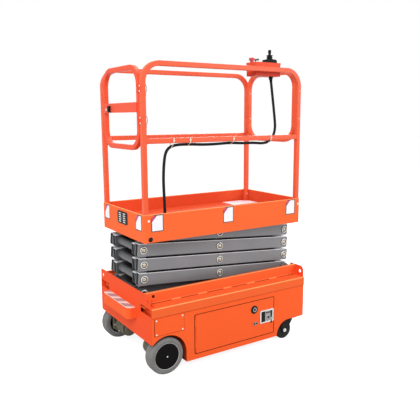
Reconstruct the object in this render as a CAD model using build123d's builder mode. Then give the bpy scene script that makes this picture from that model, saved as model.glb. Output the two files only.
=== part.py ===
"""Self-propelled scissor lift with a folded four-level scissor stack, in millimetres.

Frame: +X points to the end with the control box and casters, -X to the entry gate,
the step and the drive wheels, +Z is up, and the floor is z = 0.
The origin is the centre of the object's box, at floor level.
"near" is the -Y side and "far" the +Y side.
"""

from build123d import *
import math
import os

os.makedirs("parts", exist_ok=True)

# ---------------------------------------------------------------- driving dimensions
clearance = 0.3                 # face to face between separate pieces
sheet = 4.0                     # panels, skirts and the deck
bend = 9.0                      # outside radius of the folded corners

chassis_length = 1173.0
chassis_half_width = 380.0      # over the shelf lips
lip_step = 6.0                  # lips stand proud of the side panels by this
panel_bottom_z = 47.0
shelf_top_z = 424.0
lip_height = 56.0
well_half_width = 288.0
well_floor_z = 400.0
well_top_z = 494.0
well_flange = 16.0
entry_bottom_z = 202.0          # underside of the chassis between the drive wheels
control_bottom_z = 147.0        # underside of the chassis over the casters
step_reach = 56.0
platform_overhang = 9.0

drive_wheel_radius = 112.5
drive_wheel_width = 78.0
drive_wheel_inset = 102.0       # axle behind the entry end plate
hub_radius = 79.0
arch_gap = 19.0
wheel_side_gap = 6.0            # drive wheel to the frame plate beside it
caster_wheel_radius = 62.5
caster_wheel_width = 38.0
caster_track = 326.0
caster_trail = 32.0
caster_inset = 115.0            # swivel axis from the control end

levels = 4
pin_span = 1086.0               # pin to pin along X when folded
level_rise = 89.0               # pin to pin up the stack when folded
base_pin_z = 464.0
control_pin_inset = 42.7        # fixed pins from the control end of the chassis
arm_depth = 78.0
arm_width = 40.0
arm_wall = 4.0
outer_arm_y = 185.0             # centre planes of the arms
inner_arm_y = 139.0
entry_overhang = 37.0           # arm ends beyond their pins
control_overhang = 30.0
pin_radius = 14.0
boss_radius = 25.0
ring_radius = 22.5

platform_length = 1176.0
platform_half_width = 300.0
skirt_bottom_z = 794.0
skirt_height = 165.0
platform_floor_z = 877.0

tube = 30.0                     # guard rail tube, square
tube_corner = 5.0
rail_bend = 105.0
top_rail_z = 1802.0
mid_rail_z = 1374.0
loop_bottom_z = 1334.0
loop_bend = 104.0
hinge_gap = 8.0

cable_diameter = 17.0

# ---------------------------------------------------------------- places worked out
overall_length = step_reach + chassis_length + platform_overhang
entry_x = -overall_length / 2 + step_reach
control_x = entry_x + chassis_length
platform_x1 = control_x + platform_overhang
platform_x0 = platform_x1 - platform_length
panel_y = chassis_half_width - lip_step          # outer face of the side panels
shelf_under_z = shelf_top_z - sheet
lip_bottom_z = shelf_top_z - lip_height

wheel_x = entry_x + drive_wheel_inset
wheel_outer_y = panel_y - 2.0
wheel_inner_y = wheel_outer_y - drive_wheel_width
wheel_y = (wheel_outer_y + wheel_inner_y) / 2
arch_radius = drive_wheel_radius + arch_gap
bay_x0 = wheel_x + arch_radius                   # wheel bay ends and the pan begins
swivel_x = control_x - caster_inset
caster_axle_x = swivel_x - caster_trail
caster_arch_radius = control_bottom_z - panel_bottom_z
bay_x1 = swivel_x - 119.0                        # pan ends and the caster bay begins

pin_right_x = control_x - control_pin_inset      # fixed pins, every level
pin_left_x = pin_right_x - pin_span              # rolling pins, every level
arm_length = math.hypot(pin_span, level_rise)
rest_angle = math.degrees(math.atan2(level_rise, pin_span))
outer_face_y = outer_arm_y + arm_width / 2
inner_face_y = inner_arm_y - arm_width / 2
bore_radius = pin_radius + clearance

post_x0 = platform_x0 + sheet + tube / 2
post_x1 = platform_x1 - sheet - tube / 2
post_y = platform_half_width - sheet - tube / 2
skirt_top_z = skirt_bottom_z + skirt_height
floor_under_z = platform_floor_z - sheet


def save(builder, name):
    """Names a finished piece and writes its STEP file."""
    builder.part.label = name
    export_step(builder.part, f"parts/{name}.step")


def slab(x0, x1, y0, y1, z0, z1, mode=Mode.ADD):
    """A plate or block between two corners, in the part being built."""
    with Locations(((x0 + x1) / 2, (y0 + y1) / 2, (z0 + z1) / 2)):
        Box(x1 - x0, y1 - y0, z1 - z0, mode=mode)


def rod_y(x, z, y0, y1, radius, mode=Mode.ADD):
    """A round bar, boss or bore along Y, in the part being built."""
    with Locations(Location((x, (y0 + y1) / 2, z), (90, 0, 0))):
        Cylinder(radius, abs(y1 - y0), mode=mode)


def pin_left(level):
    return pin_left_x, base_pin_z + level_rise * level


def pin_right(level):
    return pin_right_x, base_pin_z + level_rise * level


# ================================================================ chassis
# Lower frame: one folded floor that steps down between the wheel bays, with the
# centre spine that carries the lift cylinder's foot.
cylinder_foot = (237.7, 335.0)
spine_half_width = 55.0
with BuildPart() as lower_frame:
    slab(entry_x + sheet, bay_x0, -wheel_inner_y + wheel_side_gap, wheel_inner_y - wheel_side_gap,
         entry_bottom_z + sheet, entry_bottom_z + 2 * sheet)
    slab(bay_x0, bay_x0 + sheet, -panel_y + sheet, panel_y - sheet,
         panel_bottom_z, well_floor_z)
    slab(bay_x0, bay_x1, -panel_y + sheet, panel_y - sheet,
         panel_bottom_z, panel_bottom_z + sheet)
    slab(bay_x1 - sheet, bay_x1, -panel_y + sheet, panel_y - sheet,
         panel_bottom_z, well_floor_z)
    slab(bay_x1, control_x - sheet, -panel_y + sheet, panel_y - sheet,
         control_bottom_z + sheet, control_bottom_z + 2 * sheet)
    for side in (-1, 1):
        y = side * (spine_half_width + sheet / 2)
        slab(bay_x0, bay_x1, y - sheet / 2, y + sheet / 2, panel_bottom_z, well_floor_z)
    rod_y(*cylinder_foot, -spine_half_width, spine_half_width, pin_radius)
save(lower_frame, "lower_frame")

# Scissor well: a shallow trough that the folded stack sits in, with rolled-in rims
# and a slot for the lift cylinder.
slot_x0 = cylinder_foot[0] - 195.0
slot_x1 = cylinder_foot[0] + 62.0
with BuildPart() as scissor_well:
    with BuildSketch(Plane.YZ.offset(entry_x + sheet)):
        with Locations((0, (well_floor_z + well_top_z) / 2)):
            Rectangle(2 * well_half_width, well_top_z - well_floor_z)
        with Locations((0, well_top_z)):
            Rectangle(2 * (well_half_width - well_flange), 2 * sheet, mode=Mode.SUBTRACT)
        with Locations((0, (well_floor_z + well_top_z) / 2)):
            Rectangle(2 * (well_half_width - sheet), well_top_z - well_floor_z - 2 * sheet,
                      mode=Mode.SUBTRACT)
    extrude(amount=chassis_length - 2 * sheet)
    slab(slot_x0, slot_x1, -spine_half_width, spine_half_width,
         well_floor_z - 1, well_floor_z + sheet + 1, mode=Mode.SUBTRACT)
save(scissor_well, "scissor_well")

# Side shelves: the flat step beside the well, its turned-down lip and the row of
# tabs that hook it into the well wall.
tab_count = 5
tab_pitch = 188.0
tab_length = 62.0
with BuildPart() as side_shelves:
    with BuildSketch(Plane.YZ.offset(entry_x + sheet)):
        for side in (-1, 1):
            inner = side * well_half_width
            outer = side * chassis_half_width
            fold = outer - side * sheet
            with BuildLine():
                Polyline((inner, shelf_under_z), (inner, shelf_top_z), (outer, shelf_top_z),
                         (outer, lip_bottom_z), (fold, lip_bottom_z),
                         (fold, shelf_under_z), close=True)
            make_face()
    extrude(amount=chassis_length - 2 * sheet)
    outer_edges = side_shelves.edges().filter_by(Axis.X).group_by(Axis.Z)[-1]
    lip_edges = [e for e in outer_edges if abs(e.center().Y) > chassis_half_width - 1]
    fillet(lip_edges, 3.0)
    for side in (-1, 1):
        for i in range(tab_count):
            x = (i - (tab_count - 1) / 2) * tab_pitch + entry_x + chassis_length / 2
            y = side * (well_half_width + 7.0)
            slab(x - tab_length / 2, x + tab_length / 2, y - 7.0, y + 7.0,
                 shelf_top_z, shelf_top_z + 6.0)
save(side_shelves, "side_shelves")

# Entry end plate: lifting ears at the top corners, open ends of the shelf channels.
ear_hole = (335.0, 456.0)
ear_hole_radius = 12.0
ear_outer_y = 367.0
window_y0 = 236.0
window_z0 = 374.0


recess_half_width = 236.0       # the control end is cut down for the folded arms
end_plates = (                  # name, outer face, bottom, ear corner radius, recess half width
    ("entry_end_plate", entry_x, entry_bottom_z, 12.0, 0.0),
    ("control_end_plate", control_x - sheet, control_bottom_z, 32.0, recess_half_width),
)
for plate_name, plate_x, plate_bottom_z, ear_corner, recess in end_plates:
    with BuildPart() as end_plate:
        with BuildSketch(Plane.YZ.offset(plate_x)) as outline:
            with BuildLine():
                Polyline((-panel_y, plate_bottom_z), (panel_y, plate_bottom_z),
                         (panel_y, shelf_top_z), (ear_outer_y, shelf_top_z),
                         (ear_outer_y, well_top_z), (-ear_outer_y, well_top_z),
                         (-ear_outer_y, shelf_top_z), (-panel_y, shelf_top_z), close=True)
            make_face()
            fillet(outline.vertices().group_by(Axis.Y)[-1], ear_corner)
            fillet(outline.vertices().group_by(Axis.Y)[0], 10.0)
            with Locations((-ear_hole[0], ear_hole[1]), (ear_hole[0], ear_hole[1])):
                Circle(ear_hole_radius, mode=Mode.SUBTRACT)
            if recess:
                with Locations((0, (well_floor_z + well_top_z + 1) / 2)):
                    Rectangle(2 * recess, well_top_z + 1 - well_floor_z, mode=Mode.SUBTRACT)
            else:
                for side in (-1, 1):
                    with Locations((side * (window_y0 + panel_y - sheet) / 2,
                                    (window_z0 + shelf_under_z) / 2)):
                        Rectangle(panel_y - sheet - window_y0, shelf_under_z - window_z0,
                                  mode=Mode.SUBTRACT)
        extrude(amount=sheet)
        outer_face = end_plate.faces().sort_by(Axis.X)[0 if plate_x < 0 else -1]
        sides = [e for e in outer_face.edges().filter_by(Axis.Z) if abs(e.center().Y) > panel_y - 1]
        fillet(sides, sheet - clearance)
    save(end_plate, plate_name)

# Side panels: an arch over the drive wheel, an arch by the caster, and the door
# opening with a strip behind its edge that the door closes against.
door_x0 = bay_x0 + 58.5
door_x1 = bay_x1 - 29.0
door_z0 = panel_bottom_z + 34.0
door_z1 = lip_bottom_z - 35.0
door_corner = 8.0
door_gap = 3.0
strip_width = 12.0
side_names = ((-1, "near"), (1, "far"))
door_mid_x = (door_x0 + door_x1) / 2
door_mid_z = (door_z0 + door_z1) / 2
door_width = door_x1 - door_x0
door_height = door_z1 - door_z0
for side, side_name in side_names:
    panel_plane = Plane((0, side * panel_y, 0), x_dir=(1, 0, 0), z_dir=(0, -1, 0))
    strip_plane = Plane((0, side * (panel_y - sheet), 0), x_dir=(1, 0, 0), z_dir=(0, -1, 0))
    with BuildPart() as side_panel:
        with BuildSketch(panel_plane):
            with BuildLine():
                Polyline((entry_x + sheet, shelf_under_z), (entry_x + sheet, entry_bottom_z),
                         (wheel_x, entry_bottom_z), (wheel_x, drive_wheel_radius),
                         (bay_x0, drive_wheel_radius), (bay_x0, panel_bottom_z),
                         (bay_x1, panel_bottom_z))
                RadiusArc((bay_x1, panel_bottom_z),
                          (bay_x1 + caster_arch_radius, control_bottom_z),
                          caster_arch_radius)
                Polyline((bay_x1 + caster_arch_radius, control_bottom_z),
                         (control_x - sheet, control_bottom_z),
                         (control_x - sheet, shelf_under_z), (entry_x + sheet, shelf_under_z))
            make_face()
            with Locations((wheel_x, drive_wheel_radius)):
                Circle(arch_radius, mode=Mode.SUBTRACT)
            with Locations((door_mid_x, door_mid_z)):
                RectangleRounded(door_width, door_height, door_corner, mode=Mode.SUBTRACT)
        extrude(amount=side * sheet)
        with BuildSketch(strip_plane):
            with Locations((door_mid_x, door_mid_z)):
                RectangleRounded(door_width + 2 * strip_width, door_height + 2 * strip_width,
                                 door_corner + strip_width)
                RectangleRounded(door_width - 2 * strip_width, door_height - 2 * strip_width,
                                 door_corner, mode=Mode.SUBTRACT)
        extrude(amount=side * sheet)
    save(side_panel, f"side_panel_{side_name}")

# Bolted cover plates over the drive wheel arches.
cover_x0 = entry_x + 22.0
cover_x1 = cover_x0 + 196.0
cover_z0 = 256.0
cover_z1 = 358.0
cover_thickness = 2.0
with BuildPart() as arch_covers:
    for side in (-1, 1):
        y = side * (panel_y + cover_thickness / 2)
        slab(cover_x0, cover_x1, y - cover_thickness / 2, y + cover_thickness / 2,
             cover_z0, cover_z1)
save(arch_covers, "arch_covers")

# Entry step: a tread plate with cut-back corners and a turned-down lip, on the end plate.
step_half_width = 199.0
step_front_half_width = 195.0
step_y = 22.0
step_z = 379.0
step_lip = 68.0
step_corner = 30.0
with BuildPart() as entry_step:
    with BuildSketch(Plane.XY.offset(step_z - step_lip)) as step_plan:
        with BuildLine():
            Polyline((entry_x, step_y - step_half_width), (entry_x, step_y + step_half_width),
                     (entry_x - step_reach, step_y + step_front_half_width),
                     (entry_x - step_reach, step_y - step_front_half_width), close=True)
        make_face()
        fillet(step_plan.vertices().group_by(Axis.X)[0], step_corner)
    extrude(amount=step_lip)
    offset(amount=-sheet, openings=entry_step.faces().sort_by(Axis.Z)[0]
           + entry_step.faces().sort_by(Axis.X)[-1])
save(entry_step, "entry_step")

# Doors on both sides, hinged at their entry edge, with a paddle latch and, on the
# near one, the main switch and two small ones.
hinge_radius = 3.5
hinge_length = 46.0
door_hinge_x = door_x0 + hinge_radius
door_hinge_y = panel_y + 1.0
latch_x = door_x1 - 60.0
latch_z = door_z0 + 128.0
latch_width = 112.0
latch_height = 88.0
switch_x = door_x1 - 165.0
switch_z = door_z0 + 192.0
for side, side_name in side_names:
    door_plane = Plane((0, side * panel_y, 0), x_dir=(1, 0, 0), z_dir=(0, -1, 0))
    with BuildPart() as door:
        with BuildSketch(door_plane):
            with Locations((door_mid_x + hinge_radius, door_mid_z)):
                RectangleRounded(door_width - 2 * hinge_radius - 2 * door_gap,
                                 door_height - 2 * door_gap, door_corner - door_gap)
        extrude(amount=side * (sheet - clearance))
        for z in (door_z0 + 55.0, door_z1 - 55.0):
            with Locations((door_hinge_x, side * door_hinge_y, z)):
                Cylinder(hinge_radius - clearance, hinge_length)
            slab(door_hinge_x, door_hinge_x + 8.0,
                 min(side * panel_y, side * (panel_y + 1.5)),
                 max(side * panel_y, side * (panel_y + 1.5)),
                 z - hinge_length / 2, z + hinge_length / 2)
    save(door, f"door_{side_name}")
    with BuildPart() as latch:
        with BuildSketch(door_plane):
            with Locations((latch_x, latch_z)):
                RectangleRounded(latch_width, latch_height, 6.0)
        extrude(amount=-side * 3.0)
        with BuildSketch(Plane((0, side * (panel_y + 3.0), 0), x_dir=(1, 0, 0),
                               z_dir=(0, -1, 0))):
            with Locations((latch_x, latch_z)):
                RectangleRounded(latch_width - 18.0, latch_height - 18.0, 4.0)
        extrude(amount=side * 2.0, mode=Mode.SUBTRACT)
    save(latch, f"door_latch_{side_name}")

with BuildPart() as main_switch:
    rod_y(switch_x, switch_z, -panel_y - 3.0, -panel_y, 23.0)
    rod_y(switch_x, switch_z, -panel_y - lip_step, -panel_y - 3.0, 13.0)
save(main_switch, "main_switch")

# Heavy masses inside: the battery pack behind the near door, the pump and motor
# behind the far one.
block_gap_y = spine_half_width + sheet + 10.0
block_outer_y = panel_y - sheet - 20.0
with BuildPart() as battery_block:
    slab(bay_x0 + 84.5, bay_x1 - 61.0, -block_outer_y, -block_gap_y,
         panel_bottom_z + sheet, panel_bottom_z + 278.0)
    fillet(battery_block.edges().filter_by(Axis.Z), 8.0)
save(battery_block, "battery_block")
with BuildPart() as power_unit_block:
    slab(bay_x0 + 169.5, bay_x1 - 146.0, block_gap_y, block_outer_y - 10.0,
         panel_bottom_z + sheet, panel_bottom_z + 243.0)
    fillet(power_unit_block.edges().filter_by(Axis.Z), 20.0)
save(power_unit_block, "power_unit_block")

# ================================================================ wheels
# Drive motors: a gear case flange on a hanging bracket, a round motor inboard and
# the axle that the wheel turns on.
motor_radius = 52.0
flange_radius = 64.0
bracket_y0 = wheel_inner_y - 26.0
bracket_y1 = wheel_inner_y - 12.0
motor_end_y = 150.0
axle_radius = 16.0
for side, side_name in side_names:
    with BuildPart() as drive_motor:
        slab(wheel_x - 66.0, wheel_x + 66.0, min(side * bracket_y0, side * bracket_y1),
             max(side * bracket_y0, side * bracket_y1),
             drive_wheel_radius - 30.0, entry_bottom_z + sheet)
        rod_y(wheel_x, drive_wheel_radius, side * motor_end_y, side * bracket_y0, motor_radius)
        rod_y(wheel_x, drive_wheel_radius, side * bracket_y0, side * bracket_y1, flange_radius)
        rod_y(wheel_x, drive_wheel_radius, side * bracket_y1,
              side * (wheel_inner_y + 50.0), axle_radius)
    save(drive_motor, f"drive_motor_{side_name}")
    with BuildPart() as hub:
        with BuildSketch(Plane((wheel_x, 0, drive_wheel_radius), x_dir=(0, side, 0),
                               z_dir=(side, 0, 0))):
            with BuildLine():
                Polyline((wheel_inner_y, 0), (wheel_inner_y, 40.0), (wheel_inner_y + 12.0, 40.0),
                         (wheel_inner_y + 20.0, hub_radius), (wheel_outer_y - 6.0, hub_radius),
                         (wheel_outer_y - 3.0, hub_radius - 3.0), (wheel_outer_y - 3.0, 14.0),
                         (wheel_outer_y, 12.0), (wheel_outer_y, 0), close=True)
            make_face()
        revolve(axis=Axis((wheel_x, 0, drive_wheel_radius), (0, 1, 0)))
        rod_y(wheel_x, drive_wheel_radius, side * wheel_inner_y,
              side * (wheel_inner_y + 50.0 + clearance), axle_radius + clearance,
              mode=Mode.SUBTRACT)
    save(hub, f"drive_hub_{side_name}")
    with BuildPart() as tyre:
        with BuildSketch(Plane((wheel_x, 0, drive_wheel_radius), x_dir=(0, side, 0),
                               z_dir=(side, 0, 0))) as tyre_section:
            with Locations((wheel_y, (hub_radius + drive_wheel_radius) / 2)):
                Rectangle(drive_wheel_width, drive_wheel_radius - hub_radius)
            fillet(tyre_section.vertices().group_by(Axis.Y)[-1], 12.0)
            with Locations((wheel_inner_y + 10.0, hub_radius)):
                Rectangle(20.0, 2 * clearance, mode=Mode.SUBTRACT)
        revolve(axis=Axis((wheel_x, 0, drive_wheel_radius), (0, 1, 0)))
    save(tyre, f"drive_tyre_{side_name}")

# Casters: a fixed top plate, a swivelling fork and a wheel on its bolt.
plate_z0 = control_bottom_z - 4.0
fork_gap = 3.0
fork_wall = 6.0
fork_half = caster_wheel_width / 2 + fork_gap
bolt_radius = 7.0
with BuildPart() as caster_plates:
    for side in (-1, 1):
        slab(swivel_x - 52.0, swivel_x + 52.0, side * caster_track - 44.0,
             side * caster_track + 44.0, plate_z0, plate_z0 + 8.0)
        with Locations((swivel_x, side * caster_track, plate_z0 - 3.0)):
            Cylinder(34.0, 6.0)
save(caster_plates, "caster_plates")
for side, side_name in side_names:
    y = side * caster_track
    with BuildPart() as fork:
        with Locations((swivel_x, y, plate_z0 - 6.0 - clearance - 4.0)):
            Cylinder(30.0, 8.0)
        for wall in (-1, 1):
            leg_y = y + wall * (fork_half + fork_wall / 2)
            with BuildSketch(Plane((0, leg_y, 0), x_dir=(1, 0, 0), z_dir=(0, -1, 0))):
                with BuildLine():
                    Polyline((swivel_x - 34.0, plate_z0 - 14.0), (swivel_x + 34.0, plate_z0 - 14.0),
                             (caster_axle_x + 16.0, caster_wheel_radius - 12.0),
                             (caster_axle_x - 16.0, caster_wheel_radius - 12.0),
                             (swivel_x - 34.0 - caster_trail, plate_z0 - 44.0), close=True)
                make_face()
                with Locations((caster_axle_x, caster_wheel_radius)):
                    Circle(20.0)
            extrude(amount=fork_wall / 2, both=True)
        slab(swivel_x - 34.0, swivel_x + 34.0, y - fork_half - fork_wall,
             y + fork_half + fork_wall, plate_z0 - 16.0, plate_z0 - 10.0)
        rod_y(caster_axle_x, caster_wheel_radius, y - fork_half - fork_wall - 4.0,
              y + fork_half + fork_wall + 4.0, bolt_radius)
    save(fork, f"caster_fork_{side_name}")
    with BuildPart() as caster_wheel:
        rod_y(caster_axle_x, caster_wheel_radius, y - caster_wheel_width / 2,
              y + caster_wheel_width / 2, caster_wheel_radius)
        fillet(caster_wheel.edges().filter_by(GeomType.CIRCLE), 8.0)
        rod_y(caster_axle_x, caster_wheel_radius, y - fork_half + clearance,
              y + fork_half - clearance, 16.0)
        rod_y(caster_axle_x, caster_wheel_radius, y - fork_half, y + fork_half,
              bolt_radius + clearance, mode=Mode.SUBTRACT)
    save(caster_wheel, f"caster_wheel_{side_name}")

# ================================================================ scissor
roller_radius = 30.0
roller_width = 36.0
roller_gap = 8.0                # roller to the arm beside it
lower_roller_y = inner_arm_y + arm_width / 2 + roller_gap + roller_width / 2
upper_roller_y = inner_arm_y
track_x0 = pin_left_x - 32.0
track_x1 = -80.0
track_wall = 5.0
track_web_height = 21.0
lug = 12.0                      # bracket plate thickness
lug_gap = 5.0

# Roller tracks on the deck: box rails with an outer web that keeps the rollers in.
track_top_z = base_pin_z - roller_radius - clearance
with BuildPart() as roller_tracks:
    for side in (-1, 1):
        y0 = lower_roller_y - roller_width / 2 - 2.0
        y1 = lower_roller_y + roller_width / 2 + 6.0
        slab(track_x0, track_x1, min(side * y0, side * y1), max(side * y0, side * y1),
             well_floor_z + sheet, track_top_z)
        slab(track_x0, track_x1, min(side * y1, side * (y1 + track_wall)),
             max(side * y1, side * (y1 + track_wall)),
             well_floor_z + sheet, track_top_z + track_web_height)
save(roller_tracks, "roller_tracks")

# Fixed brackets on the deck that carry the bottom arms' pins.
with BuildPart() as pivot_brackets:
    for side in (-1, 1):
        inner0 = outer_arm_y - arm_width / 2 - 8.0 - lug
        outer0 = outer_face_y + 3.0 + lug_gap
        for y0 in (inner0, outer0):
            slab(pin_right_x - 34.0, pin_right_x + 34.0, min(side * y0, side * (y0 + lug)),
                 max(side * y0, side * (y0 + lug)), well_floor_z + sheet, base_pin_z)
            rod_y(pin_right_x, base_pin_z, side * y0, side * (y0 + lug), 30.0)
        rod_y(pin_right_x, base_pin_z, side * inner0, side * (outer0 + lug), pin_radius)
save(pivot_brackets, "pivot_brackets")

# Arms. Each outer node is the two outer arms of a level with the shafts between them,
# each inner node the two inner arms with the cross tubes those shafts turn in.
# Rows: level, overhang and corner radius at the lower end, then at the upper end.
end_corner = 12.0
end_round = 38.0
outer_rows = ((1, 30.0, end_round, entry_overhang, end_corner),
              (2, control_overhang, end_corner, entry_overhang, end_corner),
              (3, control_overhang, end_corner, entry_overhang, end_corner),
              (4, control_overhang, end_corner, 29.0, end_round))
inner_rows = ((1, 34.0, end_round, control_overhang, end_corner),
              (2, entry_overhang, end_corner, control_overhang, end_corner),
              (3, entry_overhang, end_corner, control_overhang, end_corner),
              (4, entry_overhang, end_corner, 30.0, end_round))
cos_rest = math.cos(math.radians(rest_angle))
sin_rest = math.sin(math.radians(rest_angle))
centre_x = (pin_left_x + pin_right_x) / 2
rod_eye = (-62.8, 530.6)
eye_shaft_radius = 12.0
eye_play = 6.3                  # the rod's eye wanders by this on the way up
ring_thickness = 3.0

for level, over0, round0, over1, round1 in outer_rows:
    lower_x, lower_z = pin_right(level - 1)
    upper_x, upper_z = pin_left(level)
    centre_z = (lower_z + upper_z) / 2
    mid_shift = (over1 - over0) / 2
    full = arm_length + over0 + over1
    with BuildPart() as outer_arms:
        for side in (-1, 1):
            arm_plane = Plane((centre_x, side * outer_arm_y, centre_z),
                              x_dir=(-cos_rest, 0, sin_rest), z_dir=(0, 1, 0))
            with BuildSketch(arm_plane) as arm_side:
                with Locations((mid_shift, 0)):
                    Rectangle(full, arm_depth)
                fillet(arm_side.vertices().group_by(Axis.X)[0], round0)
                fillet(arm_side.vertices().group_by(Axis.X)[-1], round1)
            extrude(amount=arm_width / 2, both=True)
            with BuildSketch(arm_plane):
                with Locations((mid_shift, 0)):
                    Rectangle(full + 2.0, arm_depth - 2 * arm_wall)
            extrude(amount=arm_width / 2 - arm_wall, both=True, mode=Mode.SUBTRACT)
            for x, z in ((lower_x, lower_z), (centre_x, centre_z), (upper_x, upper_z)):
                rod_y(x, z, side * (outer_face_y - arm_width + arm_wall / 2),
                      side * (outer_face_y - arm_wall / 2), boss_radius)
                rod_y(x, z, side * (outer_face_y - arm_wall / 2),
                      side * (outer_face_y + ring_thickness), ring_radius)
            rod_y(centre_x, centre_z, side * (outer_face_y - arm_width - 1.0),
                  side * (outer_face_y + ring_thickness + 1.0), bore_radius, mode=Mode.SUBTRACT)
            if level == 1:
                rod_y(lower_x, lower_z, side * (outer_face_y - arm_width - 1.0),
                      side * (outer_face_y + ring_thickness + 1.0), bore_radius,
                      mode=Mode.SUBTRACT)
        rod_y(upper_x, upper_z, -outer_face_y, outer_face_y, pin_radius)
        if level > 1:
            rod_y(lower_x, lower_z, -outer_face_y, outer_face_y, pin_radius)
    save(outer_arms, f"outer_arms_{level}")

for level, over0, round0, over1, round1 in inner_rows:
    lower_x, lower_z = pin_left(level - 1)
    upper_x, upper_z = pin_right(level)
    centre_z = (lower_z + upper_z) / 2
    mid_shift = (over1 - over0) / 2
    full = arm_length + over0 + over1
    with BuildPart() as inner_arms:
        for side in (-1, 1):
            arm_plane = Plane((centre_x, side * inner_arm_y, centre_z),
                              x_dir=(cos_rest, 0, sin_rest), z_dir=(0, -1, 0))
            with BuildSketch(arm_plane) as arm_side:
                with Locations((mid_shift, 0)):
                    Rectangle(full, arm_depth)
                fillet(arm_side.vertices().group_by(Axis.X)[0], round0)
                fillet(arm_side.vertices().group_by(Axis.X)[-1], round1)
            extrude(amount=arm_width / 2, both=True)
            with BuildSketch(arm_plane):
                with Locations((mid_shift, 0)):
                    Rectangle(full + 2.0, arm_depth - 2 * arm_wall)
            extrude(amount=arm_width / 2 - arm_wall, both=True, mode=Mode.SUBTRACT)
            rod_y(centre_x, centre_z, side * (inner_face_y + arm_wall / 2),
                  side * (inner_face_y + arm_width - arm_wall / 2), boss_radius)
            rod_y(centre_x, centre_z, side * (inner_face_y + arm_wall),
                  side * (outer_face_y + ring_thickness - 1.5), pin_radius)
        tube_y = inner_arm_y + arm_width / 2 - arm_wall / 2
        rod_y(upper_x, upper_z, -tube_y, tube_y, boss_radius)
        rod_y(upper_x, upper_z, -tube_y - 10.0, tube_y + 10.0, bore_radius, mode=Mode.SUBTRACT)
        if level == 1:
            rod_y(lower_x, lower_z, -lower_roller_y, lower_roller_y, pin_radius)
            rod_y(*rod_eye, -inner_arm_y, inner_arm_y, eye_shaft_radius)
        else:
            rod_y(lower_x, lower_z, -tube_y, tube_y, boss_radius)
            rod_y(lower_x, lower_z, -tube_y - 10.0, tube_y + 10.0, bore_radius,
                  mode=Mode.SUBTRACT)
    save(inner_arms, f"inner_arms_{level}")

# Rollers at the open ends of the bottom inner and the top outer arms.
for roller_name, (x, z), roller_y in (("lower_rollers", pin_left(0), lower_roller_y),
                                      ("upper_rollers", pin_left(levels), upper_roller_y)):
    with BuildPart() as rollers:
        for side in (-1, 1):
            rod_y(x, z, side * (roller_y - roller_width / 2),
                  side * (roller_y + roller_width / 2), roller_radius)
            rod_y(x, z, side * (roller_y - roller_width / 2 - 1.0),
                  side * (roller_y + roller_width / 2 + 1.0), pin_radius + clearance,
                  mode=Mode.SUBTRACT)
    save(rollers, roller_name)

# Lift cylinder, foot on the frame and eye on the bottom inner arms.
barrel_radius = 35.0
rod_radius = 18.0
eye_radius = 27.0
eye_half_width = 20.0
barrel_length = 315.0
bore_start = 45.0
rod_start = 60.0
closed_length = math.hypot(rod_eye[0] - cylinder_foot[0], rod_eye[1] - cylinder_foot[1])
lift_dir = ((rod_eye[0] - cylinder_foot[0]) / closed_length, 0,
            (rod_eye[1] - cylinder_foot[1]) / closed_length)
foot_point = (cylinder_foot[0], 0, cylinder_foot[1])
lift_plane = Plane(foot_point, x_dir=(0, 1, 0), z_dir=lift_dir)
with BuildPart() as lift_barrel:
    with BuildSketch(lift_plane.offset(pin_radius + 6.0)):
        Circle(barrel_radius)
    extrude(amount=barrel_length - pin_radius - 6.0)
    rod_y(*cylinder_foot, -barrel_radius, barrel_radius, eye_radius)
    with BuildSketch(lift_plane.offset(bore_start)):
        Circle(rod_radius + clearance)
    extrude(amount=barrel_length, mode=Mode.SUBTRACT)
    rod_y(*cylinder_foot, -barrel_radius - 1.0, barrel_radius + 1.0, pin_radius + clearance,
          mode=Mode.SUBTRACT)
save(lift_barrel, "lift_barrel")
with BuildPart() as lift_rod:
    with BuildSketch(lift_plane.offset(rod_start)):
        Circle(rod_radius)
    extrude(amount=closed_length - rod_start)
    rod_y(*rod_eye, -eye_half_width, eye_half_width, eye_radius)
    rod_y(*rod_eye, -eye_half_width - 1.0, eye_half_width + 1.0, eye_shaft_radius + eye_play,
          mode=Mode.SUBTRACT)
save(lift_rod, "lift_rod")

# ================================================================ platform
with BuildPart() as platform_tray:
    with BuildSketch(Plane.XY.offset(skirt_bottom_z)):
        with Locations(((platform_x0 + platform_x1) / 2, 0)):
            RectangleRounded(platform_length, 2 * platform_half_width, bend)
            RectangleRounded(platform_length - 2 * sheet, 2 * (platform_half_width - sheet),
                             bend - sheet, mode=Mode.SUBTRACT)
    extrude(amount=skirt_height)
    with BuildSketch(Plane.XY.offset(floor_under_z)):
        with Locations(((platform_x0 + platform_x1) / 2, 0)):
            RectangleRounded(platform_length - sheet, 2 * platform_half_width - sheet,
                             bend - sheet / 2)
    extrude(amount=sheet)
save(platform_tray, "platform_tray")

# Tracks under the floor for the upper rollers, and the brackets of the fixed top pins.
upper_track_z = base_pin_z + level_rise * levels + roller_radius + clearance
with BuildPart() as upper_tracks:
    for side in (-1, 1):
        slab(track_x0, track_x1, side * upper_roller_y - 22.0, side * upper_roller_y + 22.0,
             upper_track_z, floor_under_z)
save(upper_tracks, "upper_tracks")
top_pin_x, top_pin_z = pin_right(levels)
with BuildPart() as platform_brackets:
    for side in (-1, 1):
        y0 = inner_arm_y + arm_width / 2 + 7.0
        y1 = y0 + 2 * lug
        slab(top_pin_x - 34.0, top_pin_x + 34.0, min(side * y0, side * y1),
             max(side * y0, side * y1), top_pin_z, floor_under_z)
        rod_y(top_pin_x, top_pin_z, side * y0, side * y1, 30.0)
    rod_y(top_pin_x, top_pin_z, -y1, y1, pin_radius)
save(platform_brackets, "platform_brackets")

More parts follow.
